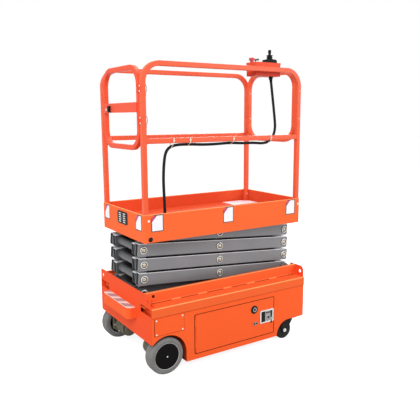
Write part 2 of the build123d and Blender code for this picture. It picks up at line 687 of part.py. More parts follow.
# Side guard rails: a bent hoop with one middle rail.
for side, side_name in side_names:
    y = side * post_y
    with BuildPart() as guard_rail:
        with BuildLine() as hoop:
            FilletPolyline((post_x0, y, platform_floor_z), (post_x0, y, top_rail_z),
                           (post_x1, y, top_rail_z), (post_x1, y, platform_floor_z),
                           radius=rail_bend)
        with BuildSketch(Plane((post_x0, y, platform_floor_z))):
            RectangleRounded(tube, tube, tube_corner)
        sweep(path=hoop.line)
        with BuildSketch(Plane((post_x0 + tube / 4, y, mid_rail_z), x_dir=(0, 1, 0),
                               z_dir=(1, 0, 0))):
            RectangleRounded(tube, tube, tube_corner)
        extrude(amount=post_x1 - post_x0 - tube / 2)
    save(guard_rail, f"guard_rail_{side_name}")

# Entry gate and end guard: closed hoops between the legs.
bar_z0 = loop_bottom_z + 200.0
bar_z1 = bar_z0 + 56.0
bar_thickness = 6.0
stile_gate_y = post_y - tube - hinge_gap
stile_guard_y = post_y - tube - clearance
gate_top_z = top_rail_z - 17.0
gate_mid_z = (loop_bottom_z + gate_top_z) / 2
gate_height = gate_top_z - loop_bottom_z
guard_bottom_z = loop_bottom_z + 16.0
guard_mid_z = (guard_bottom_z + top_rail_z) / 2
guard_height = top_rail_z - guard_bottom_z
gate_face_x = post_x0 - tube / 2
hinge_heights = (bar_z0 - 42.0, bar_z1 + 76.0)
knuckle_radius = 4.0
knuckle_height = 40.0
own_knuckle = knuckle_height / 3 - 2 * clearance
gate_pin_radius = 2.2
leaf_thickness = 3.0
gate_pin_x = gate_face_x - knuckle_radius
gate_pin_y = -(post_y - tube / 2 - hinge_gap / 2)
with BuildPart() as gate_frame:
    with BuildSketch(Plane.YZ.offset(post_x0 - tube / 2)):
        with Locations((0, gate_mid_z)):
            RectangleRounded(2 * stile_gate_y + tube, gate_height + tube, loop_bend + tube / 2)
            RectangleRounded(2 * stile_gate_y - tube, gate_height - tube, loop_bend - tube / 2,
                             mode=Mode.SUBTRACT)
    extrude(amount=tube)
    fillet(gate_frame.edges().filter_by(lambda e: e.length > 5.0)
           .filter_by(lambda e: abs(e.tangent_at(0.5).X) < 0.5), tube_corner)
    slab(gate_face_x - bar_thickness, gate_face_x, -stile_gate_y, stile_gate_y, bar_z0, bar_z1)
    for z in hinge_heights:
        slab(gate_face_x - leaf_thickness, gate_face_x, gate_pin_y, -stile_gate_y,
             z - own_knuckle / 2, z + own_knuckle / 2)
        with Locations((gate_pin_x, gate_pin_y, z)):
            Cylinder(knuckle_radius, own_knuckle)
            Cylinder(gate_pin_radius + clearance, own_knuckle, mode=Mode.SUBTRACT)
save(gate_frame, "gate_frame")
with BuildPart() as gate_latch:
    latch_x1 = gate_face_x - bar_thickness - clearance
    slab(latch_x1 - 10.0, latch_x1, stile_gate_y - 125.0, stile_gate_y - 95.0,
         bar_z0 + 2.0, bar_z1 - 14.0)
    fillet(gate_latch.edges().filter_by(Axis.X), 4.0)
save(gate_latch, "gate_latch")
with BuildPart() as end_guard:
    with BuildSketch(Plane.YZ.offset(post_x1 - tube / 2)):
        with Locations((0, guard_mid_z)):
            RectangleRounded(2 * stile_guard_y + tube, guard_height + tube, loop_bend + tube / 2)
            RectangleRounded(2 * stile_guard_y - tube, guard_height - tube, loop_bend - tube / 2,
                             mode=Mode.SUBTRACT)
    extrude(amount=tube)
    fillet(end_guard.edges().filter_by(lambda e: abs(e.tangent_at(0.5).X) < 0.5), tube_corner)
save(end_guard, "end_guard")

# Gate hinges: a leaf on the leg with two knuckles and the pin, the gate's knuckle between.
with BuildPart() as gate_hinges:
    for z in hinge_heights:
        slab(gate_face_x - clearance - leaf_thickness, gate_face_x - clearance,
             -post_y - 8.0, gate_pin_y, z - knuckle_height / 2, z + knuckle_height / 2)
        with Locations((gate_pin_x, gate_pin_y, z)):
            Cylinder(knuckle_radius, knuckle_height)
            Cylinder(knuckle_radius + 4.0, knuckle_height / 3, mode=Mode.SUBTRACT)
            Cylinder(gate_pin_radius, knuckle_height)
save(gate_hinges, "gate_hinges")

# Control box on the near rail, with its joystick and stop button.
box_x1 = post_x1 - 140.4
box_x0 = box_x1 - 204.0
box_y0 = -(post_y - tube / 2) + clearance
box_y1 = box_y0 + 96.7
box_z0 = top_rail_z - 40.0
box_z1 = box_z0 + 84.0
gland_x = box_x1 - 56.6
gland_y = box_y0 + 29.7
with BuildPart() as control_box:
    slab(box_x0, box_x1, box_y0, box_y1, box_z0, box_z1)
    fillet(control_box.edges().filter_by(Axis.Z), 6.0)
    with Locations((gland_x, gland_y, box_z0 - 6.0)):
        Cylinder(cable_diameter / 2 + 5.0, 12.0)
save(control_box, "control_box")
joystick_x = box_x1 - 52.6
joystick_y = box_y0 + 49.7
joystick_base_height = 14.0
stop_x = box_x0 + 27.4
stop_y = box_y0 + 75.7
stop_stem_height = 16.0
boot_profile = ((0, 0), (24, 0), (24, 4), (18, 7), (21.5, 11), (21.5, 14), (16, 17), (19, 21),
                (19, 24), (12, 27), (12, 32), (7, 35), (6, 48), (9, 52), (9, 66), (7, 70), (0, 71))
with BuildPart() as joystick:
    with Locations((joystick_x, joystick_y, box_z1 + joystick_base_height / 2)):
        Box(74.0, 74.0, joystick_base_height)
    fillet(joystick.edges().filter_by(Axis.Z), 8.0)
    with BuildSketch(Plane((joystick_x, joystick_y, box_z1 + joystick_base_height), x_dir=(1, 0, 0),
                           z_dir=(0, -1, 0))):
        with BuildLine():
            Polyline(*boot_profile, close=True)
        make_face()
    revolve(axis=Axis((joystick_x, joystick_y, 0), (0, 0, 1)))
save(joystick, "joystick")
with BuildPart() as stop_button:
    with Locations((stop_x, stop_y, box_z1)):
        Cylinder(12.0, stop_stem_height, align=(Align.CENTER, Align.CENTER, Align.MIN))
    with Locations((stop_x, stop_y, box_z1 + stop_stem_height)):
        Cylinder(18.5, 16.0, align=(Align.CENTER, Align.CENTER, Align.MIN))
    fillet(stop_button.edges().group_by(Axis.Z)[-1], 6.0)
save(stop_button, "stop_button")

# Cable from the box down to the floor, tied along the middle rail.
grommet_inset = 136.0           # from the entry posts
grommet_y = -post_y + 14.0
with BuildPart() as cable_grommet:
    with Locations((post_x0 + grommet_inset, grommet_y, platform_floor_z)):
        Cylinder(19.0, 8.0, align=(Align.CENTER, Align.CENTER, Align.MIN))
save(cable_grommet, "cable_grommet")
cable_route = ((403, -236, 1748.6), (412, -238, 1680), (424, -240, 1590), (434, -244, 1500),
               (438, -249, 1425), (405, -252, 1358), (340, -255, 1336), (250, -256, 1344),
               (160, -255, 1343), (69, -254, 1349), (-30, -256, 1344), (-130, -255, 1343),
               (-242, -255, 1349.5), (-343, -255, 1346), (-388, -258, 1314),
               (-403, -262, 1240), (-410, -266, 1150), (-408, -268, 1060), (-404, -267, 970),
               (-402, -267, 885.3))
route = [Vector(*p) for p in cable_route]
bend_radii = []
for before, here, after in zip(route, route[1:], route[2:]):
    turn = (here - before).get_angle(after - here)
    run = min((here - before).length, (after - here).length)
    bend_radii.append(0.45 * run / math.tan(math.radians(turn) / 2))
print("control_cable radii", [round(r) for r in bend_radii])
with BuildPart() as control_cable:
    with BuildLine() as cable_line:
        FilletPolyline(*cable_route, radius=bend_radii)
    with BuildSketch(Plane(cable_line.line @ 0, z_dir=cable_line.line % 0)):
        Circle(cable_diameter / 2)
    sweep(path=cable_line.line)
print("control_cable volume", round(control_cable.part.volume), "of",
      round(math.pi * (cable_diameter / 2) ** 2
            * sum(edge.length for edge in cable_line.edges())))
save(control_cable, "control_cable")
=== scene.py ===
"""Self-propelled scissor lift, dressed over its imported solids.

Metres. +X is the end with the control box and the casters, -X the entry gate and the
drive wheels, -Y the near side, and the floor is z = 0.
"""
import math
import bmesh
import bpy
from mathutils import Matrix, Vector


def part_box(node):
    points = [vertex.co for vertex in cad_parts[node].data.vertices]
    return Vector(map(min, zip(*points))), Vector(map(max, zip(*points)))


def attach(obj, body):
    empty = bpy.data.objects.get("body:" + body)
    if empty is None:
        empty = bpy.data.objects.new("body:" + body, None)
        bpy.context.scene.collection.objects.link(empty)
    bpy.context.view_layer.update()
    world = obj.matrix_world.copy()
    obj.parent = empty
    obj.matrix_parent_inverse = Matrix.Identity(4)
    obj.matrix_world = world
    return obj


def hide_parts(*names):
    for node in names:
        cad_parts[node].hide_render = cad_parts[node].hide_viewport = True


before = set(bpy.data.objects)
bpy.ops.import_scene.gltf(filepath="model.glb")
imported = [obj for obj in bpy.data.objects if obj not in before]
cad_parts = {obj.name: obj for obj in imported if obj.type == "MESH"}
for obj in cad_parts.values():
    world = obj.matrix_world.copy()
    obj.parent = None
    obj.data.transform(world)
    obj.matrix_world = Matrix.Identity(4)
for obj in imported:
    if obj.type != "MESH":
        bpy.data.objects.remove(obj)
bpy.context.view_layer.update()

# Control cable. A black rubber-sheathed control lead, 17 mm thick. It hangs from the gland
# under the control box, runs back along the middle rail on ties and drops into the floor.
cable_diameter = 0.017
cable_points = [
    (0.403, -0.236, 1.7486), (0.412, -0.238, 1.68), (0.424, -0.24, 1.59),
    (0.434, -0.244, 1.5), (0.438, -0.249, 1.425), (0.405, -0.252, 1.358),
    (0.34, -0.255, 1.336), (0.25, -0.256, 1.344), (0.16, -0.255, 1.343),
    (0.069, -0.254, 1.349), (-0.03, -0.256, 1.344), (-0.13, -0.255, 1.343),
    (-0.242, -0.255, 1.3495), (-0.343, -0.255, 1.346), (-0.388, -0.258, 1.314),
    (-0.403, -0.262, 1.24), (-0.41, -0.266, 1.15), (-0.408, -0.268, 1.06),
    (-0.404, -0.267, 0.97), (-0.402, -0.267, 0.8853)]
cable_curve = bpy.data.curves.new("cable_line", "CURVE")
cable_curve.dimensions = "3D"
cable_line = cable_curve.splines.new("NURBS")
cable_line.points.add(len(cable_points) - 1)
for spot, place in zip(cable_line.points, cable_points):
    spot.co = (*place, 1.0)
    spot.radius = cable_diameter / 2
cable_line.order_u = 3
cable_line.use_endpoint_u = True
cable_line.resolution_u = 10
cable = bpy.data.objects.new("cable", cable_curve)
bpy.context.collection.objects.link(cable)
cable_run = [vert.co.copy() for vert in bpy.data.meshes.new_from_object(cable).vertices]
cable_curve.bevel_depth = 1.0
cable_curve.bevel_resolution = 5
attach(cable, "platform")
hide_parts("control_cable")


class Value:
    """A shader socket that takes part in Python arithmetic, each step a Math node."""

    def __init__(self, finish, socket):
        self.finish = finish
        self.socket = socket

    def maths(self, operation, left, right=0.0):
        return self.finish.node("ShaderNodeMath", {"operation": operation},
                                {0: left, 1: right})

    def __add__(self, other):
        return self.maths("ADD", self, other)

    def __radd__(self, other):
        return self.maths("ADD", other, self)

    def __sub__(self, other):
        return self.maths("SUBTRACT", self, other)

    def __rsub__(self, other):
        return self.maths("SUBTRACT", other, self)

    def __mul__(self, other):
        return self.maths("MULTIPLY", self, other)

    def __rmul__(self, other):
        return self.maths("MULTIPLY", other, self)

    def __gt__(self, other):
        return self.maths("GREATER_THAN", self, other)

    def __lt__(self, other):
        return self.maths("LESS_THAN", self, other)

    def __abs__(self):
        return self.maths("ABSOLUTE", self)

    def __mod__(self, other):
        return self.maths("FLOORED_MODULO", self, other)


class Finish:
    """A node material under construction, with the shader that its surface shows."""

    def __init__(self, name):
        self.material = bpy.data.materials.new(name)
        self.material.use_nodes = True
        self.tree = self.material.node_tree
        self.tree.nodes.clear()
        self.shader = self.tree.nodes.new("ShaderNodeBsdfPrincipled")
        end = self.tree.nodes.new("ShaderNodeOutputMaterial")
        self.tree.links.new(self.shader.outputs[0], end.inputs[0])
        self.place = self.node("ShaderNodeTexCoord", output="Object")

    def node(self, kind, settings=None, sockets=None, output=0):
        made = self.tree.nodes.new(kind)
        for name, value in (settings or {}).items():
            setattr(made, name, value)
        for name, value in (sockets or {}).items():
            self.feed(made.inputs[name], value)
        return Value(self, made.outputs[output])

    def feed(self, socket, value):
        if isinstance(value, Value):
            self.tree.links.new(value.socket, socket)
        elif isinstance(value, tuple) and len(value) < len(socket.default_value):
            socket.default_value = (*value, 1.0)
        else:
            socket.default_value = value

    def set(self, **values):
        for name, value in values.items():
            self.feed(self.shader.inputs[name.replace("_", " ")], value)

    def noise(self, scale, detail=3.0):
        return self.node("ShaderNodeTexNoise", None,
                         {"Vector": self.place, "Scale": scale, "Detail": detail})

    def mix(self, factor, low, high):
        return self.node("ShaderNodeMix", {"data_type": "RGBA"},
                         {0: factor, 6: low, 7: high}, output=2)

    def bump(self, height, distance, strength=1.0):
        return self.node("ShaderNodeBump", None,
                         {"Height": height, "Distance": distance, "Strength": strength})

    def along(self, axis):
        return self.node("ShaderNodeSeparateXYZ", None, {0: self.place}, output=axis)


def mottled(name, scale, thin, thick, detail=3.0, grain=None, **sockets):
    """A finish that drifts in patches between two colours. A pair of numbers for a socket is
    its least value and how far it rises with the patches. Grain is the scale, depth and
    strength of a fine bump."""
    finish = Finish(name)
    patches = finish.noise(scale, detail)
    finish.set(Base_Color=finish.mix(patches, thin, thick))
    for socket, value in sockets.items():
        if isinstance(value, tuple):
            value = value[0] + patches * value[1]
        finish.set(**{socket: value})
    if grain:
        grain_scale, depth, strength = grain
        finish.set(Normal=finish.bump(finish.noise(grain_scale), depth, strength))
    return finish


black_rubber = mottled("black_rubber", 90.0, (0.005, 0.006, 0.008), (0.012, 0.013, 0.016),
                       grain=(700.0, 0.0003, 0.3), Roughness=(0.45, 0.2),
                       Specular_IOR_Level=0.1)
cable_curve.materials.append(black_rubber.material)

# Studio. A camera at three-quarter front, a pale floor that runs into a white surround, and
# large soft lamps at a plain level.
camera_data = bpy.data.cameras.new("camera")
camera_data.sensor_width = 36.0
camera_data.lens = 46.16
camera = bpy.data.objects.new("camera", camera_data)
bpy.context.collection.objects.link(camera)
camera.matrix_world = (Matrix.Translation((-1.879, -3.013, 1.507))
                       @ Matrix.Rotation(math.radians(-33.1), 4, "Z")
                       @ Matrix.Rotation(math.radians(90.0 - 9.8), 4, "X")
                       @ Matrix.Rotation(math.radians(-0.2), 4, "Z"))
bpy.context.scene.camera = camera
bpy.context.scene.view_settings.view_transform = "Standard"

floor_mesh = bmesh.new()
bmesh.ops.create_grid(floor_mesh, x_segments=1, y_segments=1, size=30.0)
floor_data = bpy.data.meshes.new("floor")
floor_mesh.to_mesh(floor_data)
floor_mesh.free()
floor = bpy.data.objects.new("floor", floor_data)
bpy.context.collection.objects.link(floor)
floor_finish = Finish("floor")
floor_seen = (floor_finish.node("ShaderNodeLightPath", output="Is Camera Ray")
              + floor_finish.node("ShaderNodeLightPath", output="Is Glossy Ray"))
floor_finish.set(Base_Color=(0.42, 0.42, 0.42), Roughness=0.9, Specular_IOR_Level=0.0,
                 Emission_Color=floor_finish.mix(floor_seen, (0.0, 0.0, 0.0),
                                                 (0.86, 0.86, 0.86)),
                 Emission_Strength=1.0)
floor_data.materials.append(floor_finish.material)

world = bpy.data.worlds.new("surround")
bpy.context.scene.world = world
world.use_nodes = True
sky = world.node_tree
sky.nodes.clear()
sky_end = sky.nodes.new("ShaderNodeOutputWorld")
sky_paths = sky.nodes.new("ShaderNodeLightPath")
sky_mix = sky.nodes.new("ShaderNodeMixShader")
sky_glow = sky.nodes.new("ShaderNodeBackground")
sky_glow.inputs["Color"].default_value = (1.0, 1.0, 1.0, 1.0)
sky_glow.inputs["Strength"].default_value = 0.38
sky_white = sky.nodes.new("ShaderNodeBackground")
sky_white.inputs["Color"].default_value = (1.0, 1.0, 1.0, 1.0)
sky_seen = sky_paths.outputs["Is Camera Ray"]
for ray in ("Is Glossy Ray", "Is Transmission Ray"):
    larger = sky.nodes.new("ShaderNodeMath")
    larger.operation = "MAXIMUM"
    sky.links.new(sky_seen, larger.inputs[0])
    sky.links.new(sky_paths.outputs[ray], larger.inputs[1])
    sky_seen = larger.outputs[0]
sky.links.new(sky_seen, sky_mix.inputs[0])
sky.links.new(sky_glow.outputs[0], sky_mix.inputs[1])
sky.links.new(sky_white.outputs[0], sky_mix.inputs[2])
sky.links.new(sky_mix.outputs[0], sky_end.inputs[0])

for lamp_name, lamp_place, lamp_size, lamp_power in (
        ("key", (-3.2, -3.4, 4.2), 2.6, 182.0), ("fill", (2.8, -3.6, 2.2), 2.6, 88.0),
        ("entry", (-4.6, 0.3, 1.5), 2.6, 58.0), ("top", (0.3, 0.4, 5.0), 3.0, 110.0),
        ("back", (2.5, 3.4, 3.0), 2.6, 70.0)):
    lamp_data = bpy.data.lights.new(lamp_name, "AREA")
    lamp_data.shape = "DISK"
    lamp_data.size = lamp_size
    lamp_data.energy = lamp_power
    lamp = bpy.data.objects.new(lamp_name, lamp_data)
    bpy.context.collection.objects.link(lamp)
    lamp.location = lamp_place
    lamp.rotation_euler = (Vector((0.0, 0.0, 0.8)) - lamp.location).to_track_quat(
        "-Z", "Y").to_euler()


def powder_coat(name, thin, thick, gloss, shine, highlight_mask=None, shade_mask=None):
    """A baked powder coat that drifts from a thin to a thick colour, darker with painted shade
    where shade_mask says so and paler with a painted highlight where highlight_mask says so."""
    coat = Finish(name)
    colour = coat.mix(coat.noise(2.6), thin, thick)
    if shade_mask:
        # Painted shade: a deeper orange where the shade mask is 1.
        colour = coat.mix(shade_mask(coat), colour, (0.7, 0.086, 0.029))
    if highlight_mask:
        # Painted highlight: a pale orange where the highlight mask is 1.
        colour = coat.mix(highlight_mask(coat), colour, (1.0, 0.4, 0.15))
    coat.set(Base_Color=colour, Roughness=gloss + coat.noise(45.0) * 0.14,
             Normal=coat.bump(coat.noise(380.0), 0.0003, 0.2), Specular_IOR_Level=shine)
    return coat


def dress(finish, *node_names):
    """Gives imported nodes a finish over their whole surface."""
    for node_name in node_names:
        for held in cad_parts[node_name].material_slots:
            held.material = finish.material


# Chassis sheet metal. Folded steel panels, doors and step, welded and then powder coated
# orange, with a slight orange-peel surface.
sheet_coat = powder_coat("orange_sheet_coat", (0.97, 0.122, 0.027), (1.0, 0.136, 0.034), 0.36,
                         0.02)
dress(sheet_coat, "side_panel_near", "side_panel_far", "arch_covers", "door_near", "door_far",
      "entry_step")
# The end plates take a darker copy of the sheet coat: painted shade on the end faces.
shaded_end_paint = powder_coat("orange_shaded_end_paint", (0.88, 0.086, 0.022), (0.94, 0.098, 0.028), 0.36, 0.02)
dress(shaded_end_paint, "entry_end_plate", "control_end_plate")
# The lower frame takes a much darker copy of the coat: painted shade, for the shade inside the
# chassis and the wheel arches.
shaded_under_paint = powder_coat("orange_shaded_under_paint", (0.3, 0.03, 0.008), (0.42, 0.042, 0.012), 0.55,
                         0.02)
dress(shaded_under_paint, "lower_frame")

# Shelves and scissor well. The same coat, with a painted highlight along the bends of the
# shelf lip, the rolled rim of the well and the tops of the hooked tabs.
well_low, well_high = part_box("scissor_well")
shelf_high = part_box("side_shelves")[1]


def painted_bend_highlights(coat):
    """1 where a highlight is painted: along the lip's fold, on the tab tops and on the well's
    two rim edges.
    """
    aside, height = abs(coat.along("Y")), coat.along("Z")
    lip = (aside > shelf_high.y - 0.0045) * (height > shelf_high.z - 0.0115)
    tabs = (abs(height - shelf_high.z) < 0.0008) * (aside < well_high.y + 0.015)
    rim = (height > well_high.z - 0.004) * (aside > well_high.y - 0.0035)
    inner_rim = (height > well_high.z - 0.0015) * (aside < well_high.y - 0.013)
    return (lip + rim + inner_rim * 0.6 + tabs) * 0.85


shelf_coat = powder_coat("highlit_shelf_coat", (0.88, 0.13, 0.032), (0.93, 0.145, 0.04),
                         0.34, 0.03, painted_bend_highlights)
dress(shelf_coat, "side_shelves", "scissor_well")


def piece(name, mesh, body, *finishes, slot=None):
    """Turns a bmesh into an object riding on a body, with its normals made outward."""
    bmesh.ops.remove_doubles(mesh, verts=mesh.verts, dist=0.000005)
    bmesh.ops.recalc_face_normals(mesh, faces=mesh.faces)
    data = bpy.data.meshes.new(name)
    mesh.to_mesh(data)
    mesh.free()
    for finish in finishes:
        data.materials.append(finish.material)
    made = bpy.data.objects.new(name, data)
    bpy.context.collection.objects.link(made)
    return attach(made, body)


def facing(point, outward, up=(0, 0, 1)):
    """The frame of a spot on a surface: its Z points outward and its Y up."""
    out = Vector(outward).normalized()
    side = Vector(up).cross(out).normalized()
    return (Matrix.Translation(point)
            @ Matrix((side, out.cross(side), out)).transposed().to_4x4())


def on_side(side, x, y, z):
    """The frame of a spot on the near (-1) or far (1) side, facing outward."""
    return facing((x, side * y, z), (0, side, 0))


def paint_faces(verts, index):
    """Puts the faces of new vertices on one of the piece's finishes."""
    for face in {face for vert in verts for face in vert.link_faces}:
        face.material_index = index


def add_block(mesh, corner, opposite, place=Matrix(), round_edges=0.0, finish=0):
    """A block between two opposite corners in the frame of place, its edges rounded if
    asked."""
    corner, opposite = Vector(corner), Vector(opposite)
    size = [abs(length) for length in opposite - corner]
    made = bmesh.ops.create_cube(
        mesh, size=1.0, matrix=place @ Matrix.Translation((corner + opposite) / 2)
        @ Matrix.Diagonal((*size, 1.0)))
    paint_faces(made["verts"], finish)
    if round_edges:
        edges = list({edge for vert in made["verts"] for edge in vert.link_edges})
        bmesh.ops.bevel(mesh, geom=edges, offset=round_edges, segments=2, profile=0.5,
                        affect="EDGES", material=-1)


def add_turned(mesh, profile, place, steps=24, rings=()):
    """A turned form about the Z of place, from (radius, height) points. Rings give the
    finish of the faces inside a radius, smallest radius first."""
    line = [mesh.verts.new(place @ Vector((radius, 0.0, height))) for radius, height in profile]
    edges = [mesh.edges.new(pair) for pair in zip(line, line[1:])]
    older = set(mesh.faces)
    bmesh.ops.spin(mesh, geom=line + edges, cent=place.translation,
                   axis=place.to_3x3() @ Vector((0, 0, 1)), angle=2 * math.pi,
                   steps=steps, use_merge=True)
    inverse = place.inverted()
    for face in (face for face in mesh.faces if face not in older):
        face.smooth = True
        reach = (inverse @ face.calc_center_median()).xy.length
        face.material_index = next((index for limit, index in rings if reach < limit), 0)


def add_bolt(mesh, place, radius, finish=0):
    """A hexagon head on its washer, standing on the surface at place."""
    washer = bmesh.ops.create_cone(
        mesh, cap_ends=True, segments=20, radius1=radius * 1.5, radius2=radius * 1.45,
        depth=radius * 0.3, matrix=place @ Matrix.Translation((0, 0, radius * 0.1)))
    head = bmesh.ops.create_cone(
        mesh, cap_ends=True, segments=6, radius1=radius, radius2=radius * 0.92,
        depth=radius * 0.9, matrix=place @ Matrix.Translation((0, 0, radius * 0.6)))
    paint_faces(washer["verts"] + head["verts"], finish)


# Arch covers. Each bolted plate over a drive wheel is held by four zinc-plated hexagon bolts.
# Thin dark rubber strips along its ends and lower edge are painted shade for the gap round it.
zinc = mottled("zinc_plate", 120.0, (0.62, 0.62, 0.6), (0.8, 0.8, 0.78),
               Metallic=(0.55, 0.2), Roughness=(0.28, 0.2))
cover_low, cover_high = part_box("arch_covers")
cover_bolts = bmesh.new()
cover_gap_shade = bmesh.new()
for side in (-1, 1):
    for x in (cover_low.x + 0.01, cover_high.x - 0.012):
        for z in (cover_low.z + 0.008, cover_high.z - 0.009):
            add_bolt(cover_bolts, on_side(side, x, cover_high.y, z), 0.0035)
    # Painted shade: thin dark strips at the plate's ends and lower edge.
    for x0, x1, z0, z1 in (
            (cover_low.x - 0.003, cover_low.x, cover_low.z - 0.002, cover_high.z),
            (cover_high.x, cover_high.x + 0.0015, cover_low.z - 0.002, cover_high.z),
            (cover_low.x, cover_high.x, cover_low.z - 0.002, cover_low.z)):
        add_block(cover_gap_shade, (x0, side * (cover_high.y - 0.002), z0),
                  (x1, side * (cover_high.y - 0.0012), z1))
piece("cover_bolts", cover_bolts, "chassis", zinc, slot="latch")
# Dark rubber for the painted shade lines in the gaps, and for the plug on the well's wall.
shade_line_and_plug_rubber = mottled("shade_line_and_plug_rubber", 60.0, (0.04, 0.008, 0.005), (0.085, 0.016, 0.009),
                      Roughness=0.6, Specular_IOR_Level=0.05)
piece("cover_gap_shade", cover_gap_shade, "chassis", shade_line_and_plug_rubber, slot="cable")

# Seams. Thin dark rubber strips round each door's opening, along the underside of the shelf's
# lip and between the tabs where the well stands on the shelf are painted shade for the shadows
# in those gaps. A round plug closes a hole near the entry end of the well's wall.
sides = (("near", -1), ("far", 1))
panel_y = 0.374
gap_shade_reach = 0.0033
gap_shade_width = 0.0031
lip_z = 0.3648
tab_pitch = 0.188


def middle(low, high):
    """The point halfway between the two corners of a box."""
    return (low + high) / 2


def add_sheet(mesh, place, width, height):
    """A flat rectangle about the origin of place. Returns its four corners."""
    return bmesh.ops.create_grid(
        mesh, x_segments=1, y_segments=1, size=0.5,
        matrix=place @ Matrix.Diagonal((width, height, 1.0, 1.0)))["verts"]


def round_corners(mesh, corners, radius, segments=5):
    """Rounds corners of a flat sheet."""
    bmesh.ops.bevel(mesh, geom=list(corners), offset=radius, segments=segments, profile=0.5,
                    affect="VERTICES", material=-1)


# Painted shade: a dark strip round each door's opening stands for the shadow in the door gap.
for side_name, side in sides:
    door_low, door_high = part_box(f"door_{side_name}")
    centre = middle(door_low, door_high)
    door_gap_shade = bmesh.new()
    corners = add_sheet(door_gap_shade, on_side(side, centre.x, panel_y + 0.0002, centre.z),
                        door_high.x - door_low.x + 2 * gap_shade_reach,
                        door_high.z - door_low.z + 2 * gap_shade_reach)
    round_corners(door_gap_shade, corners, 0.01, 6)
    opening = list(door_gap_shade.faces)
    bmesh.ops.inset_region(door_gap_shade, faces=opening, thickness=gap_shade_width,
                           use_even_offset=True, use_boundary=True)
    bmesh.ops.delete(door_gap_shade, geom=opening, context="FACES")
    bmesh.ops.solidify(door_gap_shade, geom=list(door_gap_shade.faces), thickness=-0.0012)
    piece(f"door_gap_shade_{side_name}", door_gap_shade, "chassis", shade_line_and_plug_rubber, slot="cable")
shade_seams_and_plug = bmesh.new()
for side in (-1, 1):
    # Painted shade: a dark strip under the shelf's lip stands for the shadow beneath it.
    add_block(shade_seams_and_plug, (well_low.x + 0.002, side * panel_y, lip_z),
              (well_high.x - 0.002, side * (panel_y + 0.0012), lip_z + 0.0031))
    # Painted shade: dark strips between the tabs stand for the shadow in the joint of well and
    # shelf.
    for step, half in ((-1.5, 0.062), (-0.5, 0.062), (0.5, 0.062), (1.5, 0.062),
                       (-2.62, 0.08), (2.62, 0.08)):
        x = (well_low.x + well_high.x) / 2 + step * tab_pitch
        add_block(shade_seams_and_plug, (x - half, side * well_high.y, shelf_high.z - 0.006),
                  (x + half, side * (well_high.y + 0.004), shelf_high.z - 0.005))
    add_turned(shade_seams_and_plug, ((0.0, 0.0006), (0.009, 0.0006), (0.01, 0.0)),
               on_side(side, -0.503, well_high.y, 0.468), 16)
piece("shade_seams_and_plug", shade_seams_and_plug, "chassis", shade_line_and_plug_rubber, slot="cable")

# Channel ends. Each shelf channel is closed by a folded orange plate, set back a little from
# the window in the entry end plate and welded in all round.
window_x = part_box("entry_end_plate")[1].x
channel_inner_y = 0.205
channel_outer_y = 0.366
channel_floor_z = 0.345
channel_ends = bmesh.new()
for side in (-1, 1):
    # The plate takes the end plates' darker coat, which is painted shade.
    add_block(channel_ends, (window_x + 0.026, side * channel_inner_y, channel_floor_z),
              (window_x + 0.028, side * channel_outer_y, shelf_high.z - 0.0025))
piece("channel_ends", channel_ends, "chassis", shaded_end_paint, slot="orange_paint")

# Step tape. Reflective anti-slip tape laid over the whole tread, in worn slanted bars of white
# and dusky pink inside a white edge, and cut to the tread's outline.
step_low, step_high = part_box("entry_step")
tape_finish = Finish("step_tape")
tape_slant = (tape_finish.along("Y") + tape_finish.along("X") * 0.9) % 0.112
tape_wear = tape_finish.noise(60.0, 6.0) * 0.03
tape_bar = (tape_slant + tape_wear < 0.084) * (tape_finish.along("X") > step_low.x + 0.007)
tape_grit = tape_finish.noise(240.0, 6.0)
tape_finish.set(
    Base_Color=tape_finish.mix(tape_bar * 0.7 + tape_grit * 0.3,
                               (0.95, 0.88, 0.84), (0.36, 0.19, 0.21)),
    Roughness=0.55 + tape_grit * 0.25, Normal=tape_finish.bump(tape_grit, 0.0006, 0.6))
step_tape = bmesh.new()
step_y = middle(step_low, step_high).y
tape_x = step_low.x + 0.027
tape_corners = add_sheet(step_tape, Matrix.Translation((tape_x, step_y, step_high.z + 0.0002)),
                         0.051, 0.39)
front_corners = [vert for vert in tape_corners if vert.co.x < tape_x]
bmesh.ops.scale(step_tape, verts=front_corners, vec=(1.0, 0.98, 1.0),
                space=Matrix.Translation((0.0, -step_y, 0.0)))
round_corners(step_tape, front_corners, 0.027)
bmesh.ops.solidify(step_tape, geom=list(step_tape.faces), thickness=-0.0006)
piece("step_tape", step_tape, "chassis", tape_finish)

